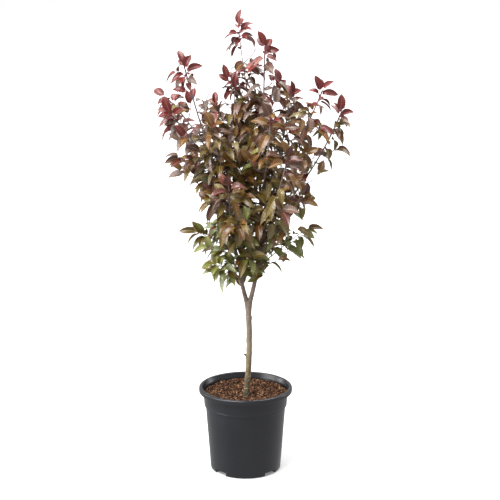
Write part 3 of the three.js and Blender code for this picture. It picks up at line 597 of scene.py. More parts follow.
def bark_finish(name, stops, pore_tone, low, high):
    """Bark whose colour changes with height in metres, clouded, with pale cork cross lines."""
    finish, nodes, links, shader, place = new_finish(name, 0.72)
    split = nodes.new("ShaderNodeSeparateXYZ")
    links.new(place, split.inputs[0])
    _, cloud = mottled(nodes, links, place, 45, [(0, grey(0)), (1, grey(1))], detail=6)
    clouded = 0.42 * (high - low)
    shift = nodes.new("ShaderNodeMath")
    shift.operation = "MULTIPLY_ADD"
    shift.inputs[1].default_value = clouded
    links.new(cloud, shift.inputs[0])
    links.new(split.outputs[2], shift.inputs[2])
    span = nodes.new("ShaderNodeMapRange")
    span.inputs["From Min"].default_value = low + clouded / 2
    span.inputs["From Max"].default_value = high + clouded / 2
    links.new(shift.outputs[0], span.inputs["Value"])
    ramp = tone_ramp(nodes, [(share, linear(tone)) for share, tone in stops])
    links.new(span.outputs[0], ramp.inputs["Fac"])
    lines, _ = mottled(nodes, links, place, 110, [(0.6, grey(0)), (0.67, grey(1))],
                       detail=2, stretch=(1, 1, 4.5))
    blotch, _ = mottled(nodes, links, place, 30, [(0.3, grey(0.62)), (0.7, grey(1))], detail=5)
    dull = nodes.new("ShaderNodeMix")
    dull.data_type = "RGBA"
    dull.blend_type = "MULTIPLY"
    dull.inputs["Factor"].default_value = 1.0
    links.new(ramp.outputs["Color"], dull.inputs["A"])
    links.new(blotch, dull.inputs["B"])
    pale = nodes.new("ShaderNodeMix")
    pale.data_type = "RGBA"
    links.new(lines, pale.inputs["Factor"])
    links.new(dull.outputs["Result"], pale.inputs["A"])
    pale.inputs["B"].default_value = linear(pore_tone)
    links.new(pale.outputs["Result"], shader.inputs["Base Color"])
    _, fine = mottled(nodes, links, place, 700, [(0, grey(0)), (1, grey(1))], detail=6, stretch=(1, 1, 0.5))
    grained(nodes, links, shader, fine, 0.35, 0.0006)
    return finish


def flare_radius(distance, length):
    flare = (TRUNK_FOOT_RADIUS - TRUNK_RADIUS) * np.exp(-FLARE_FADE * distance / FLARE_HEIGHT)
    return TRUNK_RADIUS + (FORK_RADIUS - TRUNK_RADIUS) * distance / length + flare


trunk_path = bent_line(TRUNK_LINE)
rings, distances = smooth_stretch(trunk_path, -BURIED, trunk_path.length + CROTCH * 0.3, TRUNK_RING_STEP)
radii = flare_radius(np.maximum(distances, 0), trunk_path.length)
left_to_go = np.clip((distances[-1] - distances) / CROTCH, 0, 1)
radii *= np.sqrt(1 - (1 - left_to_go) ** 2) * 0.92 + 0.08
turns = np.linspace(0, 2 * math.pi, TRUNK_SIDES, endpoint=False)
ridges = ROOT_RIDGE_DEPTH * np.exp(-np.maximum(distances + 4, 0) / ROOT_RIDGE_FADE)[:, None] * (
    np.cos(ROOT_RIDGES * turns + 0.8) + 0.5 * np.cos(2 * turns + 2.1) + 0.4)[None]
relief = pore_relief(distances, radii, TRUNK_SIDES, PORE_LINES, 31)
for height, azimuth, size in KNOTS:
    gap = distances - trunk_path.distance_at_height(height)
    off = (turns - math.radians(azimuth) + math.pi) % (2 * math.pi) - math.pi
    spread = np.hypot(gap[:, None], off[None] * TRUNK_RADIUS)
    relief += size * (np.exp(-(spread / 5) ** 2) - 0.55 * np.exp(-(spread / 2) ** 2))
corners, quads, caps = swept(rings, radii[:, None] + ridges + relief, TRUNK_SIDES)
roughen(corners, rings, TRUNK_SIDES, TRUNK_SWELLS)
bole = Heap()
bole.add(corners, quads, caps)
for height, azimuth, reach, thick in STUBS:
    middle = trunk_path.place(trunk_path.distance_at_height(height))
    way = np.array([math.cos(math.radians(azimuth)), math.sin(math.radians(azimuth)), 0.45])
    line = np.linspace(0, TRUNK_RADIUS + reach, STUB_RINGS)[:, None] * unit(way) + middle
    widths = thick * np.interp(np.arange(STUB_RINGS), [0, 7, 9, 10, 11], [1.5, 1.3, 1.0, 0.85, 0.35])
    corners, quads, caps = swept(line, widths, STUB_SIDES)
    corners += 0.35 * wave_noise(corners, 5, int(height))[:, None]
    bark_then_cut = np.repeat([0] * 8 + [1] * 3, STUB_SIDES)
    bole.add(corners, quads, caps, finish=np.concatenate([bark_then_cut, np.repeat([0, 1], STUB_SIDES)]))
trunk_bark = bark_finish("trunk_bark", [
    (0, "#463d2c"), (0.12, "#665a3e"), (0.34, "#90805e"), (0.6, "#a6937e"), (1, "#9d8b80")],
    "#c4b49c", 0.236, 0.56)
trunk = bole.make("trunk_with_root_flare", [trunk_bark, chip_finish("cut_stub", STUB_TONE)], crease=60)
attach(trunk, "root")
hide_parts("trunk")

# Stems. Two slender stems rise from the fork, the right one a little thicker and taller.
# The bark is mauve-grey and shiny with pale cork cross lines, and swells a little at each bough.
STEM_END_RADIUS = 2.4
STEM_ROOT_RADIUS = 8.2
STEM_ROOT_DEPTH = 46
STEM_SIDES = 28
STEM_RING_STEP = 1.7
STEM_PORE_LINES = 420
STEM_SWELLS = ((0.3, 30, 43), (0.12, 8, 44))
BOUGH_SWELL = 0.9
BOUGH_SWELL_REACH = 9
LEFT_LINE = [(4, 0, 550), (-12, 0, 614), (-20, 0, 670), (-42, 2, 767), (-51, 0, 880), (-46, 6, 1000),
             (-38, 18, 1130), (-28, 45, 1263)]
RIGHT_LINE = [(14, 0, 550), (29, 0, 614), (43, 0, 690), (49, 0, 783), (47, 0, 900), (33, 4, 1003),
              (16, 8, 1096), (5, 10, 1218), (-8, 10, 1300), (-20, 10, 1406)]
LEFT_TOP = 1080
RIGHT_TOP = 1170
LEFT_RADIUS = 6.6
RIGHT_RADIUS = 7.2
BOUGH_HEIGHTS = {"left": (628, 695, 700, 770, 800, 835, 850, 880, 900, 912, 940),
                 "right": (664, 705, 735, 755, 767, 780, 820, 831, 870, 878, 960)}


def stem_start(line, lean):
    """Points that bring a stem up out of the trunk, so that the fork has no step."""
    low = []
    for drop in (STEM_ROOT_DEPTH, STEM_ROOT_DEPTH / 2, STEM_ROOT_DEPTH / 4):
        middle = trunk_path.place(trunk_path.distance_at_height(line[0][2] - drop))
        low.append(middle + np.array([lean * (1 - drop / STEM_ROOT_DEPTH) ** 1.3, 0, 0]))
    return low


left_path = bent_line(LEFT_LINE)
right_path = bent_line(RIGHT_LINE)
STEMS = {
    "left": {"path": left_path, "end": left_path.distance_at_height(LEFT_TOP), "radius": LEFT_RADIUS},
    "right": {"path": right_path, "end": right_path.distance_at_height(RIGHT_TOP), "radius": RIGHT_RADIUS},
}
stem_bark = bark_finish("stem_bark", [
    (0, "#978679"), (0.2, "#8e7c72"), (0.55, "#82706f"), (1, "#8f7478")], "#c0ada2", 0.55, 1.2)
for name, stem in STEMS.items():
    end = stem["end"] + 4
    rings, distances = smooth_stretch(stem["path"], 0, end, STEM_RING_STEP)
    low = np.vstack([stem_start(stem["path"].points, rings[0][0] - 9), rings[:1]])
    root = bent_line(low)
    below, below_distances = smooth_stretch(root, 0, root.length, STEM_RING_STEP)
    rings = np.vstack([below[:-1], rings])
    distances = np.concatenate([below_distances[:-1] - below_distances[-1], distances])
    share = np.clip(distances / stem["end"], 0, 1)
    radii = stem["radius"] + (STEM_END_RADIUS - stem["radius"]) * share
    radii += (STEM_ROOT_RADIUS - stem["radius"]) * np.exp(-np.maximum(distances, 0) / 26)
    for height in BOUGH_HEIGHTS[name]:
        gap = distances - stem["path"].distance_at_height(height)
        radii += BOUGH_SWELL * np.exp(-(gap / BOUGH_SWELL_REACH) ** 2)
    relief = pore_relief(distances, radii, STEM_SIDES, STEM_PORE_LINES, 41 + len(name))
    corners, quads, caps = swept(rings, radii[:, None] + 0.8 * relief, STEM_SIDES)
    roughen(corners, rings, STEM_SIDES, STEM_SWELLS)
    wood = Heap()
    wood.add(corners, quads, caps)
    piece = wood.make(f"{name}_stem_bark", [stem_bark], crease=60)
    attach(piece, "root")
    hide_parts(f"{name}_stem")

# Boughs. Fifteen main boughs leave the stems at a collar and curve out and up, in the stems'
# bark, a little darker and redder. Each runs on as the main twig of its own mass of foliage.
# The last seven of the rows are smaller shoots, which are leafy from the stem on.
BOUGH_END_RADIUS = 1.9
BOUGH_DRAWN_END = 2.6
BOUGH_HANDLE = 0.36
BOUGH_POINTS = 20
BOUGH_SIDES = 20
BOUGH_RING_STEP = 1.6
BOUGH_PORE_LINES = 60
SHOOT_SEED = 7001
TOP_SEED = 9001
SEED_STEP = 131
BOUGH_COLUMNS = ("name", "stem", "from", "azimuth", "reach", "tip", "rise", "finish", "bare", "radius")
BOUGH_ROWS = [
    ("peak_right", "right", 960, -66, 46, 1345, 72, 86, 0.38, 3),
    ("high_left", "left", 880, -159, 141, 1292, 66, 75, 0.36, 3.4),
    ("wide_left", "left", 900, 166, 200, 1192, 66, 44, 0.36, 3),
    ("wide_front_left", "left", 850, -150, 198, 1153, 62, 45, 0.34, 3),
    ("middle_left", "left", 835, -172, 151, 1013, 52, 30, 0.3, 2.8),
    ("low_front", "left", 770, -92, 167, 950, 36, 66, 0.3, 2.8),
    ("high_back_right", "right", 878, 44, 128, 1192, 52, 80, 0.36, 3),
    ("high_right", "right", 831, -15, 189, 1220, 64, 68, 0.36, 3.4),
    ("wide_right", "right", 767, 2, 244, 1145, 50, 68, 0.4, 3.6),
    ("middle_right", "right", 735, -37, 159, 906, 36, 60, 0.34, 2.8),
    ("middle_back_left", "left", 800, 113, 216, 1090, 50, 62, 0.36, 3.2),
    ("wide_back", "right", 820, 92, 246, 1150, 48, 64, 0.38, 3.4),
    ("middle_back_right", "right", 780, 50, 225, 1060, 46, 60, 0.36, 3.2),
    ("wide_front_right", "right", 755, -70, 221, 1040, 46, 62, 0.36, 3.2),
    ("high_front", "right", 870, -80, 151, 1150, 56, 74, 0.34, 3),
    ("high_back_left", "left", 940, 109, 113, 1150, 56, 70, 0, 2.2),
    ("high_front_left", "left", 912, -112, 124, 1113, 52, 70, 0, 2.2),
    ("low_back_left", "left", 695, 104, 175, 850, 36, 50, 0, 2.2),
    ("low_back_right", "right", 705, 63, 168, 880, 40, 56, 0, 2.2),
    ("low_left", "left", 700, 170, 124, 771, 42, 22, 0, 2.2),
    ("low_right", "right", 664, -8, 149, 788, 40, 36, 0, 2.2),
    ("lowest_left", "left", 628, -149, 90, 682, 36, 20, 0, 2),
]


def curve_shoot(row):
    """A shoot's curve from the stem's middle to its tip."""
    stem = STEMS[row["stem"]]
    base = stem["path"].place(stem["path"].distance_at_height(row["from"]))
    turn = math.radians(row["azimuth"])
    outward = np.array([math.cos(turn), math.sin(turn), 0.0])
    tip = base + outward * row["reach"]
    tip[2] = row["tip"]
    handle = np.linalg.norm(tip - base) * BOUGH_HANDLE
    ends = []
    for slope, sign, end in ((row["rise"], 1, base), (row["finish"], -1, tip)):
        way = outward * math.cos(math.radians(slope)) + UP * math.sin(math.radians(slope))
        ends.append(end + way * handle * sign)
    t = np.linspace(0, 1, BOUGH_POINTS + 1)[:, None]
    path = Path((1 - t)**3 * base + 3 * (1 - t)**2 * t * ends[0] + 3 * (1 - t) * t**2 * ends[1] + t**3 * tip)
    return dict(row, path=path, limb_end=row["bare"] * path.length)


def collared(distances, radius, hidden, swell=0.7, fade=5):
    """A radius with a collar where the limb leaves what carries it."""
    return radius * (1 + swell * np.exp(-np.maximum(distances - hidden, 0) / fade))


shoots = [dict(curve_shoot(dict(zip(BOUGH_COLUMNS, row))), seed=SHOOT_SEED + SEED_STEP * i)
          for i, row in enumerate(BOUGH_ROWS)]
bough_bark = bark_finish("bough_bark", [
    (0, "#866e60"), (0.5, "#846860"), (1, "#8c6a68")], "#b8a19a", 0.6, 1.25)
for index, shoot in enumerate(shoots):
    if not shoot["limb_end"]:
        continue
    rings, distances = smooth_stretch(shoot["path"], 0, shoot["limb_end"] + 3, BOUGH_RING_STEP)
    share = np.clip(distances / shoot["limb_end"], 0, 1)
    radii = shoot["radius"] + (BOUGH_DRAWN_END - shoot["radius"]) * share
    radii = collared(distances, radii, STEMS[shoot["stem"]]["radius"] * 0.8)
    relief = pore_relief(distances, radii, BOUGH_SIDES, BOUGH_PORE_LINES, 51 + index)
    corners, quads, caps = swept(rings, radii[:, None] + 0.5 * relief, BOUGH_SIDES)
    wood = Heap()
    wood.add(corners + 0.12 * wave_noise(corners, 12, 70 + index)[:, None], quads, caps)
    piece = wood.make(f"{shoot['name']}_bough", [bough_bark], crease=60)
    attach(piece, "root")
    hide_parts(f"bough_{shoot['name']}")

# Twigs. Each bough, short spur and stem top runs on as one main twig, and side twigs leave it
# by the golden angle. They are mauve-grey and thin, reddish near their tips, and carry the
# leaves. This is the solid model's own growth rule.
GOLDEN_ANGLE = 137.5
TRIES = 8
LIMB_STEP = 25
TIP_LEAVES = 5
SIDE_TIP_LEAVES = 3
TWIG_SPACING = 52
UNBRANCHED_TIP = 70
TWIG_LENGTH = 105
TWIG_END_RADIUS = 0.9
SIDE_TWIG_RADIUS = 1.5
SPACE_MARGIN = 4
LIMB_MARGIN = 1.5
SEAT = 0.3
MAIN_STEP = 60
SPUR = {"reach": 80, "rise": 34, "finish": 28, "bare": 0, "radius": 1.9}
SPUR_LOWEST = 606
SPUR_SPACING = 62
SPUR_RISE = 44
SPURS_A_STEM = 6
SPUR_TURNS = 12


def seeded(seed):
    """Seeded numbers from 0 to 1, the same as in the solid model."""
    state = seed
    while True:
        state = state * 48271 % 2147483647
        yield state / 2147483647


def segments_distance(p, q, a, b):
    """Shortest distance between the stretch p to q and each stretch a to b."""
    d1 = q - p
    d2 = b - a
    r = p - a
    aa = d1 @ d1
    ee = np.einsum("ij,ij->i", d2, d2)
    f = np.einsum("ij,ij->i", d2, r)
    c = r @ d1
    bb = d2 @ d1
    bottom = aa * ee - bb * bb
    slanted = bottom > 1e-9
    s = np.where(slanted, np.clip((bb * f - c * ee) / np.where(slanted, bottom, 1), 0, 1), 0)
    t = np.clip((bb * s + f) / ee, 0, 1)
    s = np.clip((bb * t - c) / aa, 0, 1)
    near = p + s[:, None] * d1 - (a + t[:, None] * d2)
    return np.linalg.norm(near, axis=1)


def limb_rows(path, start, end, radius_at):
    count = max(2, math.floor((end - start) / LIMB_STEP + 0.5))
    points = path.stretch(start, end, count).points
    return [(points[i - 1], points[i], radius_at((i - 1) / count)) for i in range(1, len(points))]


def tapering(start, end):
    return lambda share: start + (end - start) * share


limbs = limb_rows(trunk_path, 0, trunk_path.length,
                  lambda share: flare_radius(share * trunk_path.length, trunk_path.length))
for stem in STEMS.values():
    limbs += limb_rows(stem["path"], 0, stem["end"], tapering(stem["radius"], STEM_END_RADIUS))
for shoot in shoots:
    if shoot["limb_end"] > 0:
        limbs += limb_rows(shoot["path"], 0, shoot["limb_end"],
                           tapering(shoot["radius"], BOUGH_END_RADIUS))
LIMB_FROM = np.array([row[0] for row in limbs])
LIMB_TO = np.array([row[1] for row in limbs])
LIMB_RADIUS = np.array([row[2] for row in limbs])


def room_round(spur):
    """How far a spur's outer half is from every limb and other shoot."""
    length = spur["path"].length
    middle, tip = spur["path"].place(length * 0.55), spur["path"].place(length)
    starts, ends = list(LIMB_FROM), list(LIMB_TO)
    for shoot in shoots:
        path = shoot["path"]
        half = path.place(path.length / 2)
        starts += [path.place(shoot["limb_end"]), half]
        ends += [half, path.place(path.length)]
    return segments_distance(middle, tip, np.array(starts), np.array(ends)).min()


for stem in ("left", "right"):
    for i in range(SPURS_A_STEM):
        height = SPUR_LOWEST + SPUR_SPACING * i + (SPUR_SPACING / 2 if stem == "right" else 0)
        row = dict(SPUR, name=f"{stem}_spur_{i + 1}", stem=stem, tip=height + SPUR_RISE, **{"from": height})
        best = None
        for k in range(SPUR_TURNS):
            spur = curve_shoot(dict(row, azimuth=360 * k / SPUR_TURNS))
            room = room_round(spur)
            if best is None or room > best[0]:
                best = (room, spur)
        shoots.append(dict(best[1], seed=SHOOT_SEED + SEED_STEP * len(shoots)))

for name, stem in STEMS.items():
    shoots.append(dict(name=f"{name}_top", seed=TOP_SEED + SEED_STEP * len(name), path=stem["path"],
                       radius=STEM_END_RADIUS, limb_end=stem["end"], stem=name))

for index, shoot in enumerate(shoots):
    start = shoot["limb_end"] + SEAT if shoot["limb_end"] > 0 else 0
    steps = max(2, math.floor((shoot["path"].length - start) / MAIN_STEP + 0.5))
    shoot["twig"] = shoot["path"].stretch(start, shoot["path"].length, steps)
    shoot["bare_twig"] = 0 if shoot["limb_end"] > 0 else STEMS[shoot["stem"]]["radius"]
    shoot["index"] = index
    shoot["twig_from"] = start
SPACE_FROM = np.concatenate([s["twig"].points[:-1] for s in shoots])
SPACE_ALONG = np.concatenate([np.diff(s["twig"].points, axis=0) for s in shoots])
SPACE_SQUARE = np.einsum("ij,ij->i", SPACE_ALONG, SPACE_ALONG)
SPACE_STARTS = np.cumsum([0] + [len(s["twig"].points) - 1 for s in shoots[:-1]])


def in_own_space(points, shoot, margin=SPACE_MARGIN):
    """Whether each point is nearer to this shoot's main twig than to any other."""
    points = np.atleast_2d(points)
    rel = points[:, None, :] - SPACE_FROM[None]
    share = np.clip(np.einsum("ijk,jk->ij", rel, SPACE_ALONG) / SPACE_SQUARE, 0, 1)
    gap = np.linalg.norm(rel - share[:, :, None] * SPACE_ALONG[None], axis=2)
    nearest = np.minimum.reduceat(gap, SPACE_STARTS, axis=1)
    own = nearest[:, shoot["index"]]
    others = np.delete(nearest, shoot["index"], axis=1).min(axis=1)
    return bool((others > own + margin).all())


def clear_of_limbs(p, q, margin):
    return bool((segments_distance(p, q, LIMB_FROM, LIMB_TO) > LIMB_RADIUS + margin).all())


def leaned(along, turn, lean):
    """A direction that leans from the shoot's own, at a turn round it, in degrees."""
    first, second = square_to(along)
    outward = first * math.cos(math.radians(turn)) + second * math.sin(math.radians(turn))
    return along * math.cos(math.radians(lean)) + outward * math.sin(math.radians(lean))


def bent_curve(base, bend, tip, step):
    """Points along a twig with one bend."""
    count = max(6, int(np.linalg.norm(tip - base) / step))
    t = np.linspace(0, 1, count + 1)[:, None]
    return Path((1 - t) ** 2 * base + 2 * t * (1 - t) * bend + t ** 2 * tip)


def side_twigs(shoot, start, numbers):
    """Side twigs leave the shoot by the golden angle, shorter towards its tip."""
    path = shoot["twig"]
    twigs = []
    phase = 360 * next(numbers)
    room = path.length - UNBRANCHED_TIP - start
    for k in range(max(0, math.floor(room / TWIG_SPACING + 0.5))):
        distance = start + 6 + TWIG_SPACING * (k + 0.3 * next(numbers))
        share = (distance - start) / room
        full = TWIG_LENGTH * (1 - 0.5 * share) * (0.85 + 0.3 * next(numbers))
        base = path.place(distance)
        along = path.direction(distance)
        for attempt in range(TRIES):
            outward = leaned(along, phase + GOLDEN_ANGLE * k + 60 * attempt, 90)
            length = full * (1 - 0.08 * attempt)
            bend = base + outward * length * 0.45 + along * length * 0.2
            tip = base + outward * length * 0.72 + along * length * 0.5 + UP * length * 0.2
            near = (base + 2 * bend + tip) / 4
            root = base + (near - base) * 0.3
            margin = LIMB_MARGIN + SIDE_TWIG_RADIUS
            if (in_own_space(np.array([near, tip]), shoot) and clear_of_limbs(root, near, margin)
                    and clear_of_limbs(near, tip, margin)):
                curve = bent_curve(base, bend, tip, 5)
                twigs.append(dict(path=Path([base, near, tip]), start=16, tip_leaves=SIDE_TIP_LEAVES,
                                  curve=curve, radius=SIDE_TWIG_RADIUS, hidden=1.5))
                break
    return twigs


masses = []
for shoot in shoots:
    numbers = seeded(shoot["seed"])
    start = shoot["bare_twig"] + 8
    points, _ = smooth_stretch(shoot["path"], shoot["twig_from"], shoot["path"].length, 3)
    main = dict(path=shoot["twig"], start=start, tip_leaves=TIP_LEAVES, curve=Path(points),
                radius=BOUGH_END_RADIUS if shoot["limb_end"] else shoot["radius"], hidden=shoot["bare_twig"])
    if shoot["name"].endswith("_top"):
        main["radius"] = STEM_END_RADIUS
    masses.append(dict(shoot=shoot, twigs=[main] + side_twigs(shoot, start, numbers), numbers=numbers))

# Places of the leaves. Leaves sit round every twig by the golden angle: spreading and
# drooping on older wood, smaller, upright and crowded at a tip. First come the solid model's
# own leaves, then those that crowd the tips, then fine twigs and the leaves between.
LEAF_LENGTH = 80
YOUNG_LEAF_LENGTH = 68
LEAF_WIDTH = 0.42
INTERNODE = 30
TIP_INTERNODE = 9
YOUNG_STRETCH = 90
LEAF_MIDDLE_MARGIN = 9
LEAF_SPACING = 10
FINE_TWIG_SPACING = 30
FINE_TWIG_RADIUS = 1.0
FINE_TIP_LEAVES = 4
FINE_INTERNODE = 5
FINE_STEP_BELOW = 9
FINE_LEAF_LENGTH = 58
FINE_SPACING = 7
TIP_EXTRA_LEAVES = 8
BARE_TIPS = ("low_front", "wide_front_right", "high_front")
TIP_EXTRA_LENGTH = 64
TIP_EXTRA_SPREAD = 16
TIP_BEYOND = 12
MASS_BEYOND = 6
TWIG_NEAR = 80
LEAF_NEAR = 75
LEAFLESS_END = 24
SOURCE_SKY = 0.7
ADDED_SKY = 0.85
# Round places as x, height and reach in the plane of the trunk, kept open or kept full. Most of
# the open ones were measured by a program, where the photograph shows sky.
OPEN_PLACES = [
    (248, 950, 40), (219, 835, 40), (75, 616, 36), (250, 1137, 28), (-111, 1247, 28), (145, 1293, 48),
    (-242, 1303, 32), (-66, 1417, 34), (-178, 875, 46), (22, 1344, 24), (193, 1195, 20), (88, 1172, 20),
    (-223, 1045, 23), (213, 1058, 28), (184, 806, 20), (-79, 1244, 20), (136, 669, 24), (-197, 958, 26),
    (-59, 1169, 16), (-123, 623, 26), (-235, 1222, 20), (344, 1068, 44), (-123, 1221, 20),
    (270, 1020, 15), (222, 938, 36), (-296, 1189, 29), (-184, 1159, 18), (155, 813, 24),
    (-197, 1028, 16), (8, 584, 24), (229, 1009, 22), (103, 698, 22), (86, 654, 24), (-236, 969, 22),
    (116, 1329, 16), (112, 1262, 16)]
FRONT_VIEW = (14.2, -3500, 1475)
FULL_PLACES = [(-178, 1290, 40), (142, 1172, 42), (142, 1107, 42), (206, 1107, 34), (-20, 1400, 60)]
FRONT = np.array([0.0, -1.0, 0.0])
FRONT_TURN = 0.22
YOUNG_FRONT_TURN = 0.9
OUTWARD_TURN = 0.36
ROLL_KEPT = 0.5
FAN = np.array([0.24, -0.12, 0])
FAN_LIFT = 0.08


def leaf_corners(base, direction, upper, roll, length, droop):
    """A leaf's middle, tip and sides, folded along its middle and arched, its face turned to upper."""
    normal = unit(upper - direction * np.dot(upper, direction))
    side = np.cross(direction, normal)
    normal = normal * math.cos(roll) + side * math.sin(roll)
    side = np.cross(direction, normal)
    middle = base + direction * length * 0.5 + normal * length * droop * 0.45
    tip = base + direction * length * 0.95 - normal * length * droop
    half = length * LEAF_WIDTH / 2
    fold = normal * half * 0.35
    return dict(base=base, direction=direction, normal=normal, roll=roll, length=length, droop=droop,
                middle=middle, tip=tip, left=middle - side * half + fold, right=middle + side * half + fold)


def to_light(base, age):
    """Where a leaf turns its face: up, out of the crown and to the front, young leaves most."""
    radial = np.array([base[0], base[1], 0])
    front = YOUNG_FRONT_TURN + (FRONT_TURN - YOUNG_FRONT_TURN) * min(1, age * 1.6)
    return UP + OUTWARD_TURN * radial / max(40, np.linalg.norm(radial)) + front * FRONT


def fanned(direction, age):
    """Leaves open to both sides, in a fan seen from the front, and older ones are held level."""
    return unit(direction * (1 + FAN) + UP * FAN_LIFT * age)


def seen_at(place):
    """Where a place shows from the front, as x and height in the plane of the trunk."""
    x, y, z = FRONT_VIEW
    share = y / (y - place[1])
    return x + (place[0] - x) * share, z + (place[2] - z) * share


def shows_in(places, place, kept=1):
    """Whether a place shows in one of some round places, each kept to a share of its reach."""
    x, z = seen_at(place)
    return any(math.hypot(x - at_x, z - at_z) < reach * kept for at_x, at_z, reach in places)


def in_open_sky(leaf, kept, parts=("middle", "tip", "left", "right")):
    """Whether a leaf would show in one of the gaps of the crown."""
    return any(shows_in(OPEN_PLACES, leaf[part], kept) for part in parts)


def leaf_arrays(leaf):
    heel = leaf["base"] + (leaf["middle"] - leaf["base"]) * 0.1
    m, t, l, r = leaf["middle"], leaf["tip"], leaf["left"], leaf["right"]
    faces = np.array([[heel, l, m], [heel, m, r], [m, l, t], [m, t, r]])
    edges = np.array([[heel, l], [heel, r], [l, t], [r, t], [heel, m], [m, t]])
    return faces, edges


def side_of(a, b, c, point):
    return np.einsum("...k,...k->...", np.cross(b - a, c - a), point - a)


def any_pierces(edges, faces):
    """Whether any of the edges passes through any of the faces."""
    p, q = edges[..., :, None, 0, :], edges[..., :, None, 1, :]
    a, b, c = (faces[..., None, :, k, :] for k in range(3))
    across = side_of(a, b, c, p) * side_of(a, b, c, q) <= 0
    first, second, third = side_of(p, q, a, b), side_of(p, q, b, c), side_of(p, q, c, a)
    inside = ((first > 0) & (second > 0) & (third > 0)) | ((first < 0) & (second < 0) & (third < 0))
    return bool((across & inside).any())


def leaf_fits(leaf, shoot, others, twigs, spacing=LEAF_SPACING):
    """Whether a leaf keeps to its own space, clear of limbs, twigs and the leaves before it."""
    base, middle, tip, left, right = (leaf[k] for k in ("base", "middle", "tip", "left", "right"))
    blade = [(base, left), (base, right), (left, tip), (right, tip)]
    samples = [middle, tip, left, right] + [(a + b) / 2 for a, b in blade + [(middle, tip)]]
    if not in_own_space(np.array(samples), shoot):
        return False
    stalk = base + (middle - base) * 0.3
    if not (clear_of_limbs(stalk, middle, LEAF_MIDDLE_MARGIN)
            and clear_of_limbs(middle, tip, LEAF_MIDDLE_MARGIN)):
        return False
    if not all(clear_of_limbs(a, b, LIMB_MARGIN) for a, b in blade):
        return False
    faces, edges = leaf_arrays(leaf)
    for twig in twigs:
        points = twig["path"].points
        if any_pierces(np.stack([points[:-1], points[1:]], axis=1), faces):
            return False
    near = [o for o in others if np.linalg.norm(o["middle"] - middle) <= LEAF_LENGTH]
    if any(np.linalg.norm(o["middle"] - middle) < spacing for o in near):
        return False
    if near:
        other_faces = np.array([o["faces"] for o in near])
        other_edges = np.array([o["edges"] for o in near])
        if any_pierces(edges[None], other_faces) or any_pierces(other_edges, faces[None]):
            return False
    leaf["faces"], leaf["edges"] = faces, edges
    return True


def leaf_places(twig):
    length = twig["path"].length
    tips = twig["tip_leaves"]
    places = [length - 1 - TIP_INTERNODE * i for i in range(tips)]
    distance = length - 1 - TIP_INTERNODE * tips - 0.4 * INTERNODE
    while distance > twig["start"]:
        places.append(distance)
        distance -= INTERNODE
    return places


def lay_leaves(twig, shoot, leaves, twigs, numbers):
    """Leaves up one twig: spreading and large below, young, small and upright at its tip."""
    path = twig["path"]
    phase = 360 * next(numbers)
    for k, distance in enumerate(leaf_places(twig)):
        age = min(1, (path.length - distance) / YOUNG_STRETCH)
        grown = YOUNG_LEAF_LENGTH + (LEAF_LENGTH - YOUNG_LEAF_LENGTH) * age
        length = grown * (0.88 + 0.24 * next(numbers))
        spread = 18 + 13 * min(k, 4) + 12 * age + 8 * next(numbers)
        droop = 0.1 + 0.14 * age + 0.08 * next(numbers)
        roll = math.radians(50 * (2 * next(numbers) - 1))
        base = path.place(distance)
        along = path.direction(distance)
        for attempt in range(TRIES):
            turn = phase + GOLDEN_ANGLE * k + 53 * attempt
            direction = unit(leaned(along, turn, spread - 4 * attempt) + UP * (0.1 - 0.25 * age))
            shrunk = length * (1 - 0.03 * attempt)
            leaf = leaf_corners(base, direction, along * 0.5 + UP, roll, shrunk, droop)
            if leaf_fits(leaf, shoot, leaves, twigs):
                leaf.update(twig=twig, distance=distance, age=age)
                leaves.append(leaf)
                break


class Placed:
    """Rows of what has been placed so far, to test each new thing against all of them."""

    def __init__(self, most, **shapes):
        self.rows = {key: np.zeros((most, *shape)) for key, shape in shapes.items()}
        self.count = 0

    def add(self, values):
        for key, rows in self.rows.items():
            rows[self.count] = values[key]
        self.count += 1

    def get(self, key):
        return self.rows[key][:self.count]


grown = Placed(3000, middle=(3,), faces=(4, 3, 3), edges=(6, 2, 3))
wood = Placed(6000, line=(2, 3))


def remember_twig(twig):
    points = twig["path"].points
    for start, end in zip(points, points[1:]):
        wood.add({"line": (start + (end - start) * 0.06, end)})


def leaf_fits_between(leaf, reach):
    """Whether one more leaf is inside its reach, clear of limbs, twigs and every leaf so far."""
    base, middle, tip, left, right = (leaf[k] for k in ("base", "middle", "tip", "left", "right"))
    points = np.array([middle, tip, left, right])
    if (points < reach[0]).any() or (points > reach[1]).any():
        return False
    if in_open_sky(leaf, ADDED_SKY):
        return False
    stalk = base + (middle - base) * 0.35
    if not (clear_of_limbs(stalk, middle, 4) and clear_of_limbs(middle, tip, 4)
            and clear_of_limbs(left, tip, 1) and clear_of_limbs(right, tip, 1)):
        return False
    gaps = np.linalg.norm(grown.get("middle") - middle, axis=1)
    if (gaps < FINE_SPACING).any():
        return False
    faces, edges = leaf_arrays(leaf)
    close = wood.get("line")
    close = close[np.linalg.norm(close.mean(axis=1) - middle, axis=1) < TWIG_NEAR]
    if len(close) and any_pierces(close, faces):
        return False
    near = gaps < LEAF_LENGTH
    if near.any() and (any_pierces(edges[None], grown.get("faces")[near])
                       or any_pierces(grown.get("edges")[near], faces[None])):
        return False
    leaf["faces"], leaf["edges"] = faces, edges
    return True


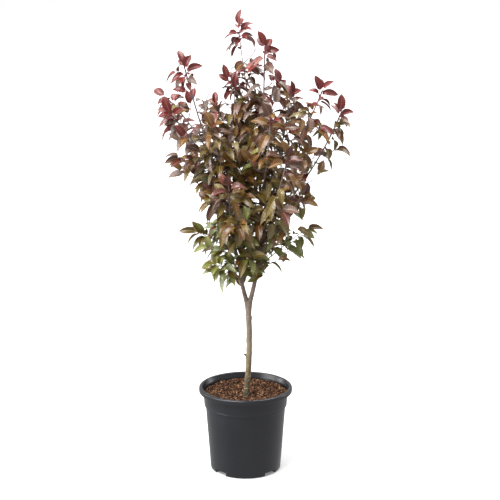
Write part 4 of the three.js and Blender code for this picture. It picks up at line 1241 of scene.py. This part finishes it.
def add_leaves(twig, places, mass, reach, length, chance, wider=0):
    """More leaves at the given places of a twig, each where it fits."""
    path = twig["path"]
    phase = chance.uniform(0, 360)
    for k, distance in enumerate(places):
        age = chance.uniform(0.3, 0.85) if twig["fine"] else min(1, (path.length - distance) / YOUNG_STRETCH)
        size = length * chance.uniform(0.84, 1.1)
        spread = 26 + wider + 13 * min(k, 3) + 14 * age + 8 * chance.uniform()
        droop = 0.1 + 0.14 * age + 0.08 * chance.uniform()
        roll = math.radians(chance.uniform(-35, 35))
        base = path.place(distance)
        along = path.direction(distance)
        for attempt in range(TRIES):
            turn = phase + GOLDEN_ANGLE * k + 53 * attempt
            direction = fanned(unit(leaned(along, turn, spread) + UP * (0.1 - 0.25 * age)), age)
            shrunk = size * (1 - 0.03 * attempt)
            leaf = leaf_corners(base, direction, to_light(base, age), roll, shrunk, droop)
            if leaf_fits_between(leaf, reach):
                leaf.update(twig=twig, distance=distance, age=age)
                mass["leaves"].append(leaf)
                grown.add(leaf)
                break


def fullness(place):
    """How many of the fine twigs grow here: all in the middle, few at the rim, none in its gaps."""
    if shows_in(OPEN_PLACES, place):
        return 0
    if shows_in(FULL_PLACES, place):
        return 1
    share = 1.22 - math.hypot(place[0], place[1]) / 165 - max(0, place[2] - 1120) / 250
    return min(1, max(0.15, share))


def fine_twigs(path, start, end, spacing, hidden, reach, chance):
    """Short fine twigs along a limb or twig, each where it fits between the leaves there."""
    phase = chance.uniform(0, 360)
    distance = start + chance.uniform(0, 12)
    made = []
    while distance < end:
        length = hidden + chance.uniform(20, 46)
        base = path.place(distance)
        along = path.direction(distance)
        tries = TRIES if chance.uniform() < fullness(base) else 0
        for attempt in range(tries):
            outward = leaned(along, phase + GOLDEN_ANGLE * len(made) + 47 * attempt, chance.uniform(52, 74))
            bend = base + outward * length * 0.55
            tip = base + outward * length * 0.9 + UP * length * 0.22 + along * length * 0.1
            near = (base + 2 * bend + tip) / 4
            root = base + (near - base) * min(0.9, 0.35 + hidden / length)
            line = np.array([[root, near], [near, tip]])
            if (line < reach[0]).any() or (line > reach[1]).any() or not clear_of_limbs(near, tip, 3):
                continue
            close = np.linalg.norm(grown.get("middle") - near, axis=1) < LEAF_NEAR
            if close.any() and any_pierces(line[None], grown.get("faces")[close]):
                continue
            fine = dict(path=Path([base, near, tip]), curve=bent_curve(base, bend, tip, 4), start=hidden + 7,
                        radius=FINE_TWIG_RADIUS, hidden=hidden, fine=True, tip_leaves=FINE_TIP_LEAVES)
            remember_twig(fine)
            made.append(fine)
            break
        distance += spacing * chance.uniform(0.75, 1.25)
    return made


def leaf_fine_twig(small, mass, reach, chance):
    """A tuft of leaves at a fine twig's tip, and one below it where there is room."""
    length = small["path"].length
    places = [length - 1 - FINE_INTERNODE * i for i in range(FINE_TIP_LEAVES)]
    below = length - 1 - FINE_INTERNODE * FINE_TIP_LEAVES - FINE_STEP_BELOW
    if below > small["start"]:
        places.append(below)
    add_leaves(small, places, mass, reach, FINE_LEAF_LENGTH, chance)


def reach_of(mass, beyond):
    """The box of a mass's solid and a little beyond, inside the whole reach."""
    low, high = np.array([list(corner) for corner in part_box(f"foliage_{mass['shoot']['name']}")]) / MM
    return np.array([np.maximum(low - beyond, whole_reach[0]), np.minimum(high + beyond, whole_reach[1])])


for mass in masses:
    mass["leaves"] = []
    for twig in mass["twigs"]:
        twig["fine"] = False
        lay_leaves(twig, mass["shoot"], mass["leaves"], mass["twigs"], mass["numbers"])
        remember_twig(twig)
    mass["leaves"] = [leaf for leaf in mass["leaves"]
                      if not in_open_sky(leaf, SOURCE_SKY, ("middle", "tip"))]
    for leaf in mass["leaves"]:
        base, age = leaf["base"], leaf["age"]
        leaf.update(leaf_corners(base, fanned(leaf["direction"], age), to_light(base, age),
                                 leaf["roll"] * ROLL_KEPT, leaf["length"], leaf["droop"]))
        leaf["faces"], leaf["edges"] = leaf_arrays(leaf)
        grown.add(leaf)

whole_reach = np.array([list(corner) for corner in cad_box]) / MM
whole_reach += np.array([[4, 4, 0], [-4, -4, -4]])
for mass in masses:
    if mass["shoot"]["name"] in BARE_TIPS:
        continue
    main = mass["twigs"][0]
    chance = np.random.default_rng(mass["shoot"]["seed"] + 1)
    crowded = [main["path"].length - TIP_INTERNODE * (k * 0.75 + 0.4) for k in range(TIP_EXTRA_LEAVES)]
    add_leaves(main, crowded, mass, reach_of(mass, TIP_BEYOND), TIP_EXTRA_LENGTH, chance, TIP_EXTRA_SPREAD)
for mass in masses:
    chance = np.random.default_rng(mass["shoot"]["seed"])
    reach = reach_of(mass, MASS_BEYOND)
    for twig in list(mass["twigs"]):
        path = twig["path"]
        end = path.length - LEAFLESS_END
        fine = fine_twigs(path, twig["start"], end, FINE_TWIG_SPACING, 0, reach, chance)
        mass["twigs"] += fine
        for small in fine:
            leaf_fine_twig(small, mass, reach, chance)
        spare = [d - INTERNODE / 2 for d in leaf_places(twig)[twig["tip_leaves"]:]
                 if d - INTERNODE / 2 > 10 and chance.uniform() < fullness(path.place(d))]
        add_leaves(twig, spare, mass, reach, FINE_LEAF_LENGTH, chance)

LOWEST_SPUR = 612
STEM_SPUR_SPACING = 17
BOUGH_SPUR_SPACING = 22
BOUGH_SPURS_FROM = 26
limb_spurs = dict(shoot=dict(name="limb_spurs"), twigs=[], leaves=[])
masses.append(limb_spurs)
chance = np.random.default_rng(5150)
limb_lines = [(stem["path"], stem["path"].distance_at_height(LOWEST_SPUR), stem["end"],
               STEM_SPUR_SPACING, stem["radius"]) for stem in STEMS.values()]
limb_lines += [(shoot["path"], BOUGH_SPURS_FROM, shoot["limb_end"], BOUGH_SPUR_SPACING, shoot["radius"])
               for shoot in shoots if shoot["limb_end"] and not shoot["name"].endswith("_top")]
for path, start, end, spacing, hidden in limb_lines:
    fine = fine_twigs(path, start, end, spacing, hidden * 0.8, whole_reach, chance)
    limb_spurs["twigs"] += fine
    for small in fine:
        leaf_fine_twig(small, limb_spurs, whole_reach, chance)

HIGH_TWIGS = 980
MAIN_TWIG_END = 2.0
YOUNG_WOOD = 34
BARK, HIGH_BARK, YOUNG_BARK = range(3)


def tube_radii(twig, distances, length):
    share = distances / length
    start, end = twig["radius"], TWIG_END_RADIUS * (0.8 if twig["fine"] else 1)
    if start == BOUGH_END_RADIUS:
        start, end = BOUGH_DRAWN_END, MAIN_TWIG_END
    plain = start + (end - start) * share
    return collared(distances, plain, twig["hidden"], 0.5, 3)


twig_bark = bark_finish("twig_bark", [
    (0, "#7c604e"), (0.5, "#8c7066"), (1, "#947c7c")], "#b8a49c", 0.6, 1.3)
high_bark = bark_finish("high_twig_bark", [
    (0, "#8f7c7c"), (0.5, "#a08e92"), (1, "#a8979c")], "#c4b4b6", 0.6, 1.3)
young_bark = bark_finish("young_twig_bark", [
    (0, "#7c5a52"), (0.5, "#7d4c4c"), (1, "#863f44")], "#a98c86", 0.6, 1.3)
brush = Heap()
for mass in masses:
    for twig in mass["twigs"]:
        curve = twig["curve"]
        rings, distances = smooth_stretch(curve, 0, curve.length, 4)
        sides = 10 if twig["radius"] > 1.2 else 8
        corners, quads, caps = swept(rings, tube_radii(twig, distances, curve.length), sides)
        to_tip = curve.length - np.repeat(distances[:-1], sides)
        height = np.repeat(rings[:-1, 2], sides)
        kinds = np.where(to_tip < YOUNG_WOOD, YOUNG_BARK, np.where(height > HIGH_TWIGS, HIGH_BARK, BARK))
        ends = np.repeat([kinds[0], YOUNG_BARK], sides)
        brush.add(corners, quads, caps, finish=np.concatenate([kinds, ends]))
twigs = brush.make("twigs", [twig_bark, high_bark, young_bark], crease=60)
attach(twigs, "root")

# Leaves. Each leaf is a closed thin blade with a drawn-out tip, saw-toothed edges, sunk pale
# side veins with the blade quilted between them, and a raised midrib. It is folded along its
# middle and arched, on a red stalk. Shoot tips are crimson, then mauve, bronze, olive, green.
STALK_SHARE = 0.17
SIDE_VEINS = 6
FIRST_VEIN = 0.07
VEIN_STEP = 0.142
VEIN_HALF_WIDTH = 0.011
VEIN_SLANT = 0.15
VEIN_SUNK = 0.004
QUILT_LIFT = 0.022
HALF_WIDTH = 0.204
BLADE_OUTLINE = ([0, 0.03, 0.08, 0.16, 0.28, 0.42, 0.56, 0.7, 0.8, 0.88, 0.94, 1],
                 [0.06, 0.32, 0.57, 0.81, 0.96, 1, 0.96, 0.82, 0.61, 0.37, 0.17, 0.02])
TOOTH = 0.11
BLADE_THICKNESS = 0.005
RIB_HALF_WIDTH = 0.011
RIB_HEIGHT = 0.006
STALK_RADIUS = 0.0095
STALK_SIDES = 4
OLD_LEAF_SCALE = 0.77
TIP_LEAF_SCALE = 0.9
YOUNG_DROOP = 0.6
OLD_DROOP = 0.75
YOUNG_BEND = 0.26
OLD_BEND = 0.36
YOUNG_WIDTH = 0.93
MOST_LEAVES_A_PIECE = 500
# The two palest mauve uppers (#88766c, #968880) and the palest olive upper (#857c50) are painted sheen: pale
# grey tones that stand for the glossy highlight, dealt to whole leaves.
FAMILIES = {
    "crimson": dict(upper=("#7e322e", "#74221d", "#883e3a", "#802d25"), edge="#5e1614",
                    under=("#8f5254", "#85484a"), rib="#b86c66", stalk="#96303a"),
    "rose": dict(upper=("#985c56", "#884a46", "#a8766c"), edge="#863636",
                 under=("#98706a", "#8c645e"), rib="#be9488", stalk="#8c3a3e"),
    "mauve": dict(upper=("#785642", "#664630", "#867064", "#88766c", "#553824", "#968880"), edge="#703c30",
                  under=("#8a7464", "#7e6856"), rib="#b8a28a", stalk="#7f4034"),
    "bronze": dict(upper=("#72501f", "#79571c", "#5e4117", "#735628"), edge="#7a4522",
                   under=("#8a7046", "#7c623a"), rib="#b89c68", stalk="#843c26"),
    "olive": dict(upper=("#72601e", "#665617", "#584a14", "#776a30", "#857c50"), edge="#785026",
                  under=("#867a46", "#786c3a"), rib="#aea46a", stalk="#7f4428"),
    "green": dict(upper=("#848a42", "#929856", "#6e7232", "#9ea468"), edge="#72682e",
                  under=("#949a66", "#868c56"), rib="#aeb278", stalk="#804e34"),
    # Pale sage-green leaves: partly a paler green of their own and partly painted sheen, dealt mostly to the
    # lit left side.
    "silver": dict(upper=("#a4ac82", "#949b6e", "#b2b892"), edge="#7c8454",
                   under=("#a6ae8a", "#9aa27c"), rib="#b8be96", stalk="#80543c"),
    "plum": dict(upper=("#6e362c", "#7a3e2a", "#582a20", "#804834"), edge="#55241e",
                 under=("#825c48", "#76523e"), rib="#a87c66", stalk="#783428"),
}
INNER, OUTER, VEIN, PAINTED_QUILT_SHADE, UNDER, RIB, STALK = range(7)
# The upper part named shade is painted shade: each upper tone darkened toward the edge tone, laid on the
# tipward slope of every quilt as its shading.
UPPER_PARTS = (("inner", "upper", 0), ("outer", "edge", 0.35),
               ("vein", "rib", 0.2), ("shade", "edge", 0.55))
CROWN_FOOT = 650
CROWN_SPAN = 800
MIDDLE_FROM = 0.21
UPPER_FROM = 0.6
TOP_FROM = 0.8
CRIMSON_FROM = 0.66
SIDE_CRIMSON_FROM = 0.58
SIDE_TIPS = 150
SIDE_FROM = 60
YOUNG_UNTIL = 0.42


def blade_stations():
    """Places along the midrib, and for each whether a vein's back or front edge or a quilt is there."""
    places = [(0.02, 0, 0)]
    for k in range(SIDE_VEINS):
        vein = FIRST_VEIN + VEIN_STEP * k
        places += [(vein - VEIN_HALF_WIDTH, -VEIN_SUNK, 0.2), (vein + VEIN_HALF_WIDTH, -VEIN_SUNK, 1),
                   (vein + VEIN_STEP / 2, QUILT_LIFT, -0.5)]
    places += [(0.93, 0, 0), (0.975, 0, 0)]
    return np.array(places).T


def blade_template():
    """Corners of a leaf a unit long: along, across, lift and how far a corner is on the blade."""
    share, lift, tooth = blade_stations()
    slant = VEIN_SLANT * (1 - share) * np.minimum(1, share * 6)
    level = 0 * share
    narrow = np.minimum(1, np.interp(share, *BLADE_OUTLINE) / 0.5)
    blade_there = HALF_WIDTH * np.interp(share, *BLADE_OUTLINE)
    rib = np.minimum(RIB_HALF_WIDTH * (1.1 - 0.75 * share), 0.4 * blade_there)
    thick = BLADE_THICKNESS * narrow
    edge_along = share + slant
    edge = np.interp(edge_along, *BLADE_OUTLINE) * HALF_WIDTH * (1 + TOOTH * tooth)
    middle_along = share + slant * 0.5
    middle = np.interp(middle_along, *BLADE_OUTLINE) * HALF_WIDTH * 0.52
    ring = []
    for across, along, height in (
        (-edge, edge_along, 0.3 * lift), (-middle, middle_along, lift * narrow), (-rib, share, level),
        (rib, share, level), (middle, middle_along, lift * narrow), (edge, edge_along, 0.3 * lift),
        (rib, share, -thick - RIB_HEIGHT * narrow), (-rib, share, -thick - RIB_HEIGHT * narrow),
    ):
        ring.append(np.stack([STALK_SHARE + (1 - STALK_SHARE) * along, across, height, share], axis=1))
    grid = np.stack(ring, axis=1)
    stations, columns = grid.shape[:2]
    plain = np.array([OUTER, INNER, RIB, INNER, OUTER, UNDER, RIB, UNDER])
    veined = np.array([VEIN, VEIN, RIB, VEIN, VEIN, UNDER, RIB, UNDER])
    painted_shade_kinds = np.array([PAINTED_QUILT_SHADE, PAINTED_QUILT_SHADE, RIB, PAINTED_QUILT_SHADE, PAINTED_QUILT_SHADE, UNDER, RIB, UNDER])
    on_vein = np.isclose(np.diff(share), 2 * VEIN_HALF_WIDTH)
    kinds = np.where(on_vein[:, None], veined, plain)
    # The faces from each quilt's crest down to the next vein take the painted shade.
    kinds = np.where((lift[:-1] == QUILT_LIFT)[:, None], painted_shade_kinds, kinds).reshape(-1)
    corners = np.vstack([grid.reshape(-1, 4), [STALK_SHARE - 0.005, 0, -0.003, 0], [1, 0, 0, 1]])
    faces = [(ring_quads(stations, columns), kinds), (end_fans(stations, columns), np.tile(plain, 2))]
    turns = np.linspace(0, 2 * math.pi, STALK_SIDES, endpoint=False)
    alongs = np.array([0, 0.35, 0.75, 1.2]) * STALK_SHARE
    radii = STALK_RADIUS * np.array([1.25, 1.0, 0.9, 0.6])
    tube = np.array([(x, r * math.cos(t), r * math.sin(t) - 0.004 * (x > STALK_SHARE), 0)
                     for x, r in zip(alongs, radii) for t in turns])
    start = len(corners)
    quads = start + ring_quads(len(alongs), STALK_SIDES)
    faces.append((quads, np.full(len(quads), STALK)))
    closing = np.array([[3, 2, 1, 0], np.array([0, 1, 2, 3]) + (len(alongs) - 1) * STALK_SIDES])
    faces.append((start + closing, np.full(len(closing), STALK)))
    return np.vstack([corners, tube]), faces


def shaped_leaves(leaves, template, chance):
    """The template bent to each leaf's own fold, arch, curve and twist: leaves by corners by 3."""
    count = len(leaves)
    age, length, droop, way, normal, root = (
        np.array([leaf[key] for leaf in leaves])[:, None]
        for key in ("age", "size", "droop", "direction", "normal", "root"))
    droop = droop * (YOUNG_DROOP + (OLD_DROOP - YOUNG_DROOP) * age)
    droop = droop * chance.uniform(0.75, 1.25, (count, 1))
    wide = (YOUNG_WIDTH + (1 - YOUNG_WIDTH) * age) * chance.uniform(0.88, 1.12, (count, 1))
    fold = 0.55 - 0.2 * age + chance.uniform(-0.12, 0.18, (count, 1))
    sickle = chance.normal(0, 0.05, (count, 1))
    twist = chance.normal(0, 0.2, (count, 1))
    ruffle = chance.uniform(0.002, 0.012, (count, 1))
    phase = chance.uniform(0, 2 * math.pi, (count, 1))
    x, across, lift, on_blade = template.T[:, None]
    y = across * wide
    blade = on_blade > 0
    z = lift + fold * np.abs(y) * blade * (1 - 0.25 * on_blade)
    wave = np.sin(9.5 * on_blade + phase + 1.4 * np.sign(across))
    z = z + ruffle * wave * np.abs(across) / HALF_WIDTH * blade
    turn = twist * on_blade
    y, z = y * np.cos(turn) - z * np.sin(turn), y * np.sin(turn) + z * np.cos(turn)
    y = y + sickle * x ** 2
    z = z + droop * (2.8 * x - 3.8 * x ** 2)
    ahead = x * (1.02 - 0.05 * x)
    parts = [(part * length)[:, :, None] for part in (ahead + 0 * y, y, z)]
    weight = (YOUNG_BEND + (OLD_BEND - YOUNG_BEND) * age) * chance.uniform(0.6, 1.3, (count, 1))
    bend = weight * np.linalg.norm(way[:, :, :2], axis=2) * x ** 2 * length
    flat = parts[0] * way + parts[1] * np.cross(way, normal) + parts[2] * normal
    return root + flat - UP * bend[:, :, None]


def by_share(pick, **shares):
    """The first family whose share reaches the pick."""
    return next(family for family, share in shares.items() if pick < share)


def family_of(leaf, mass_name, chance):
    """The colour family of a leaf, from its height, age and side of the tree."""
    x, _, z = leaf["middle"]
    level = (z - CROWN_FOOT) / CROWN_SPAN + chance.normal(0, 0.03)
    height = level + leaf["twig"]["shade"] * 0.09
    young = leaf["age"] + leaf["twig"]["shade"] * 0.06 + chance.normal(0, 0.07) < YOUNG_UNTIL
    pick = chance.uniform()
    if young and not leaf["twig"]["fine"]:
        if level > (SIDE_CRIMSON_FROM if abs(x) > SIDE_TIPS else CRIMSON_FROM):
            return "crimson"
        if mass_name == "low_front" and z > 920:
            return by_share(pick, plum=0.75, bronze=1)
        if height > 0.36:
            return by_share(pick, plum=0.2, bronze=0.65, mauve=1)
        if height < 0.16:
            return by_share(pick, green=0.5, olive=1)
        return by_share(pick, plum=0.12, bronze=0.5, olive=1)
    if height > TOP_FROM:
        return by_share(pick, crimson=0.3, rose=0.55, mauve=1)
    if height > UPPER_FROM:
        return by_share(pick, mauve=0.7, rose=0.74, bronze=0.93, plum=1)
    if height > MIDDLE_FROM:
        # On the left, some leaves take the pale green family, which is partly painted sheen from the lamps
        # on that side.
        if x < -SIDE_FROM:
            return by_share(pick, olive=0.62, mauve=0.82, bronze=0.97, silver=1)
        if x > SIDE_FROM:
            return by_share(pick, olive=0.7, plum=0.78, bronze=0.97, mauve=1)
        return by_share(pick, olive=0.64, mauve=0.7, bronze=0.96, green=1)
    # Low on the left many leaves take the pale green family, partly painted sheen.
    if x < -SIDE_FROM / 2:
        return by_share(pick, silver=0.4, green=0.76, olive=0.92, bronze=1)
    return by_share(pick, green=0.5, olive=0.8, bronze=0.93, silver=1)


def between(first, second, share):
    return [a + (b - a) * share for a, b in zip(linear(first), linear(second))]


def leaf_finish(name, colour, roughness):
    finish = bpy.data.materials.new(name)
    finish.use_nodes = True
    shader = finish.node_tree.nodes["Principled BSDF"]
    shader.inputs["Base Color"].default_value = colour
    shader.inputs["Roughness"].default_value = roughness
    shader.inputs["Specular IOR Level"].default_value = 0.62
    return finish


template, template_faces = blade_template()
chance = np.random.default_rng(908)
dealt = {name: [] for name in FAMILIES}
for mass in masses:
    for twig in mass["twigs"]:
        twig["shade"] = chance.normal()
        twig["family_pick"] = chance.uniform()
    for leaf in mass["leaves"]:
        twig = leaf["twig"]
        share = leaf["distance"] / twig["path"].length
        leaf["root"] = twig["curve"].place(share * twig["curve"].length)
        scale = 1 if twig["fine"] else TIP_LEAF_SCALE + (OLD_LEAF_SCALE - TIP_LEAF_SCALE) * leaf["age"]
        leaf["size"] = leaf["length"] * scale
        dealt[family_of(leaf, mass["shoot"]["name"], chance)].append(leaf)
foliage_nodes = [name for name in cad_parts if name.startswith("foliage_")]
for family, leaves in dealt.items():
    tones = FAMILIES[family]
    uppers, unders = len(tones["upper"]), len(tones["under"])
    finishes = []
    for part, other, share in UPPER_PARTS:
        for k, tone in enumerate(tones["upper"]):
            colour = between(tone, tone if other == "upper" else tones[other], share)
            finishes.append(leaf_finish(f"{family}_leaf_{part}_{k + 1}", colour, 0.31))
    for k, tone in enumerate(tones["under"]):
        finishes.append(leaf_finish(f"{family}_leaf_under_{k + 1}", linear(tone), 0.55))
    finishes.append(leaf_finish(f"{family}_leaf_rib", linear(tones["rib"]), 0.5))
    finishes.append(leaf_finish(f"{family}_leaf_stalk", linear(tones["stalk"]), 0.5))
    parts = math.ceil(len(leaves) / MOST_LEAVES_A_PIECE)
    for part in range(parts):
        some = leaves[part::parts]
        corners = shaped_leaves(some, template, chance)
        upper = (np.array([leaf["twig"]["family_pick"] for leaf in some]) * uppers
                 + chance.uniform(0, 1.4, len(some))).astype(int) % uppers
        after_uppers = len(UPPER_PARTS) * uppers
        under = chance.integers(0, unders, len(some)) + after_uppers
        rib = np.full(len(some), after_uppers + unders)
        by_kind = np.stack([upper + k * uppers for k in range(len(UPPER_PARTS))] + [under, rib, rib + 1])
        spray = Heap()
        spray.corners, spray.count = [corners.reshape(-1, 3)], corners.shape[0] * corners.shape[1]
        starts = np.arange(len(some))[:, None, None] * len(template)
        for faces, kinds in template_faces:
            spray.faces.append((faces[None] + starts).reshape(-1, faces.shape[1]))
            spray.finishes.append(by_kind[kinds].T.reshape(-1))
        piece = spray.make(f"{family}_leaves_{part + 1}", finishes, crease=60)
        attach(piece, "root")
        if family == "crimson" and part == 0:
            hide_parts(*foliage_nodes)

# Studio. A wide plain pale floor, a white surround, a large soft key lamp high on the left, a
# soft lamp from above and one from the left, and a weaker lamp at each edge. The camera stands
# at the photograph's place and angle, about 3.5 m in front and 1.5 m up.
FLOOR_HALF_SIDE = 400
CAMERA_PLACE = (0.0142, -3.5, 1.475)
CAMERA_DOWN = 12.19
CAMERA_LENS = 82.15
SURROUND_GLOW = 0.47
SHEEN_GLOW = 0.26
FLOOR_GLOW = 0.16

floor_mesh = bpy.data.meshes.new("studio_floor")
floor_corners = [(x * FLOOR_HALF_SIDE, y * FLOOR_HALF_SIDE, 0)
                 for x, y in ((-1, -1), (1, -1), (1, 1), (-1, 1))]
floor_mesh.from_pydata(floor_corners, [], [(0, 1, 2, 3)])
floor = bpy.data.objects.new("studio_floor", floor_mesh)
bpy.context.scene.collection.objects.link(floor)
floor_finish, nodes, links, shader, place = new_finish("pale_floor", 0.7)
paint, _ = mottled(nodes, links, place, 3, [(0.3, grey(0.8)), (0.7, grey(0.82))])
links.new(paint, shader.inputs["Base Color"])
shader.inputs["Emission Color"].default_value = grey(1)
shader.inputs["Emission Strength"].default_value = FLOOR_GLOW
floor_mesh.materials.append(floor_finish)
floor.location.z = -0.0005
floor.visible_diffuse = False
floor.visible_glossy = False

world = bpy.data.worlds.new("white_surround")
world.use_nodes = True
around = world.node_tree.nodes
white = around["Background"]
white.inputs["Color"].default_value = (1, 1, 1, 1)
white.inputs["Strength"].default_value = 1.0
dim = around.new("ShaderNodeBackground")
dim.inputs["Color"].default_value = (1, 1, 1, 1)
dim.inputs["Strength"].default_value = SURROUND_GLOW
seen = around.new("ShaderNodeLightPath")
shine = around.new("ShaderNodeMath")
shine.operation = "MULTIPLY_ADD"
shine.inputs[1].default_value = SHEEN_GLOW
mix = around.new("ShaderNodeMixShader")
join = world.node_tree.links.new
join(seen.outputs["Is Glossy Ray"], shine.inputs[0])
join(seen.outputs["Is Camera Ray"], shine.inputs[2])
join(shine.outputs[0], mix.inputs["Fac"])
join(dim.outputs[0], mix.inputs[1])
join(white.outputs[0], mix.inputs[2])
join(mix.outputs[0], around["World Output"].inputs["Surface"])
bpy.context.scene.world = world


def lamp(name, toward, spread, power):
    """A large far lamp: the direction it shines from, how wide it looks in degrees, its power."""
    light = bpy.data.lights.new(name, "SUN")
    light.angle = math.radians(spread)
    light.energy = power
    holder = bpy.data.objects.new(name, light)
    x, y, z = toward
    holder.rotation_euler = (math.atan2(math.hypot(x, y), z), 0, math.atan2(y, x) + math.pi / 2)
    holder.location = (x, y, z)
    bpy.context.scene.collection.objects.link(holder)


lamp("key_lamp", (-1.1, -1.0, 2.3), 34, 3.3)
lamp("top_lamp", (0.4, 0.9, 2.4), 40, 2.2)
lamp("left_lamp", (-2.0, -0.8, 0.5), 40, 1.6)
lamp("left_edge_lamp", (-2.0, 0.6, 0.3), 16, 0.7)
lamp("right_edge_lamp", (2.0, 0.7, 0.3), 14, 0.45)

eye = bpy.data.cameras.new("camera")
eye.lens = CAMERA_LENS
eye.sensor_width = 36
camera = bpy.data.objects.new("camera", eye)
camera.location = CAMERA_PLACE
camera.rotation_euler = (math.radians(90 - CAMERA_DOWN), 0, 0)
bpy.context.scene.collection.objects.link(camera)
bpy.context.scene.camera = camera
bpy.context.scene.view_settings.view_transform = "Standard"
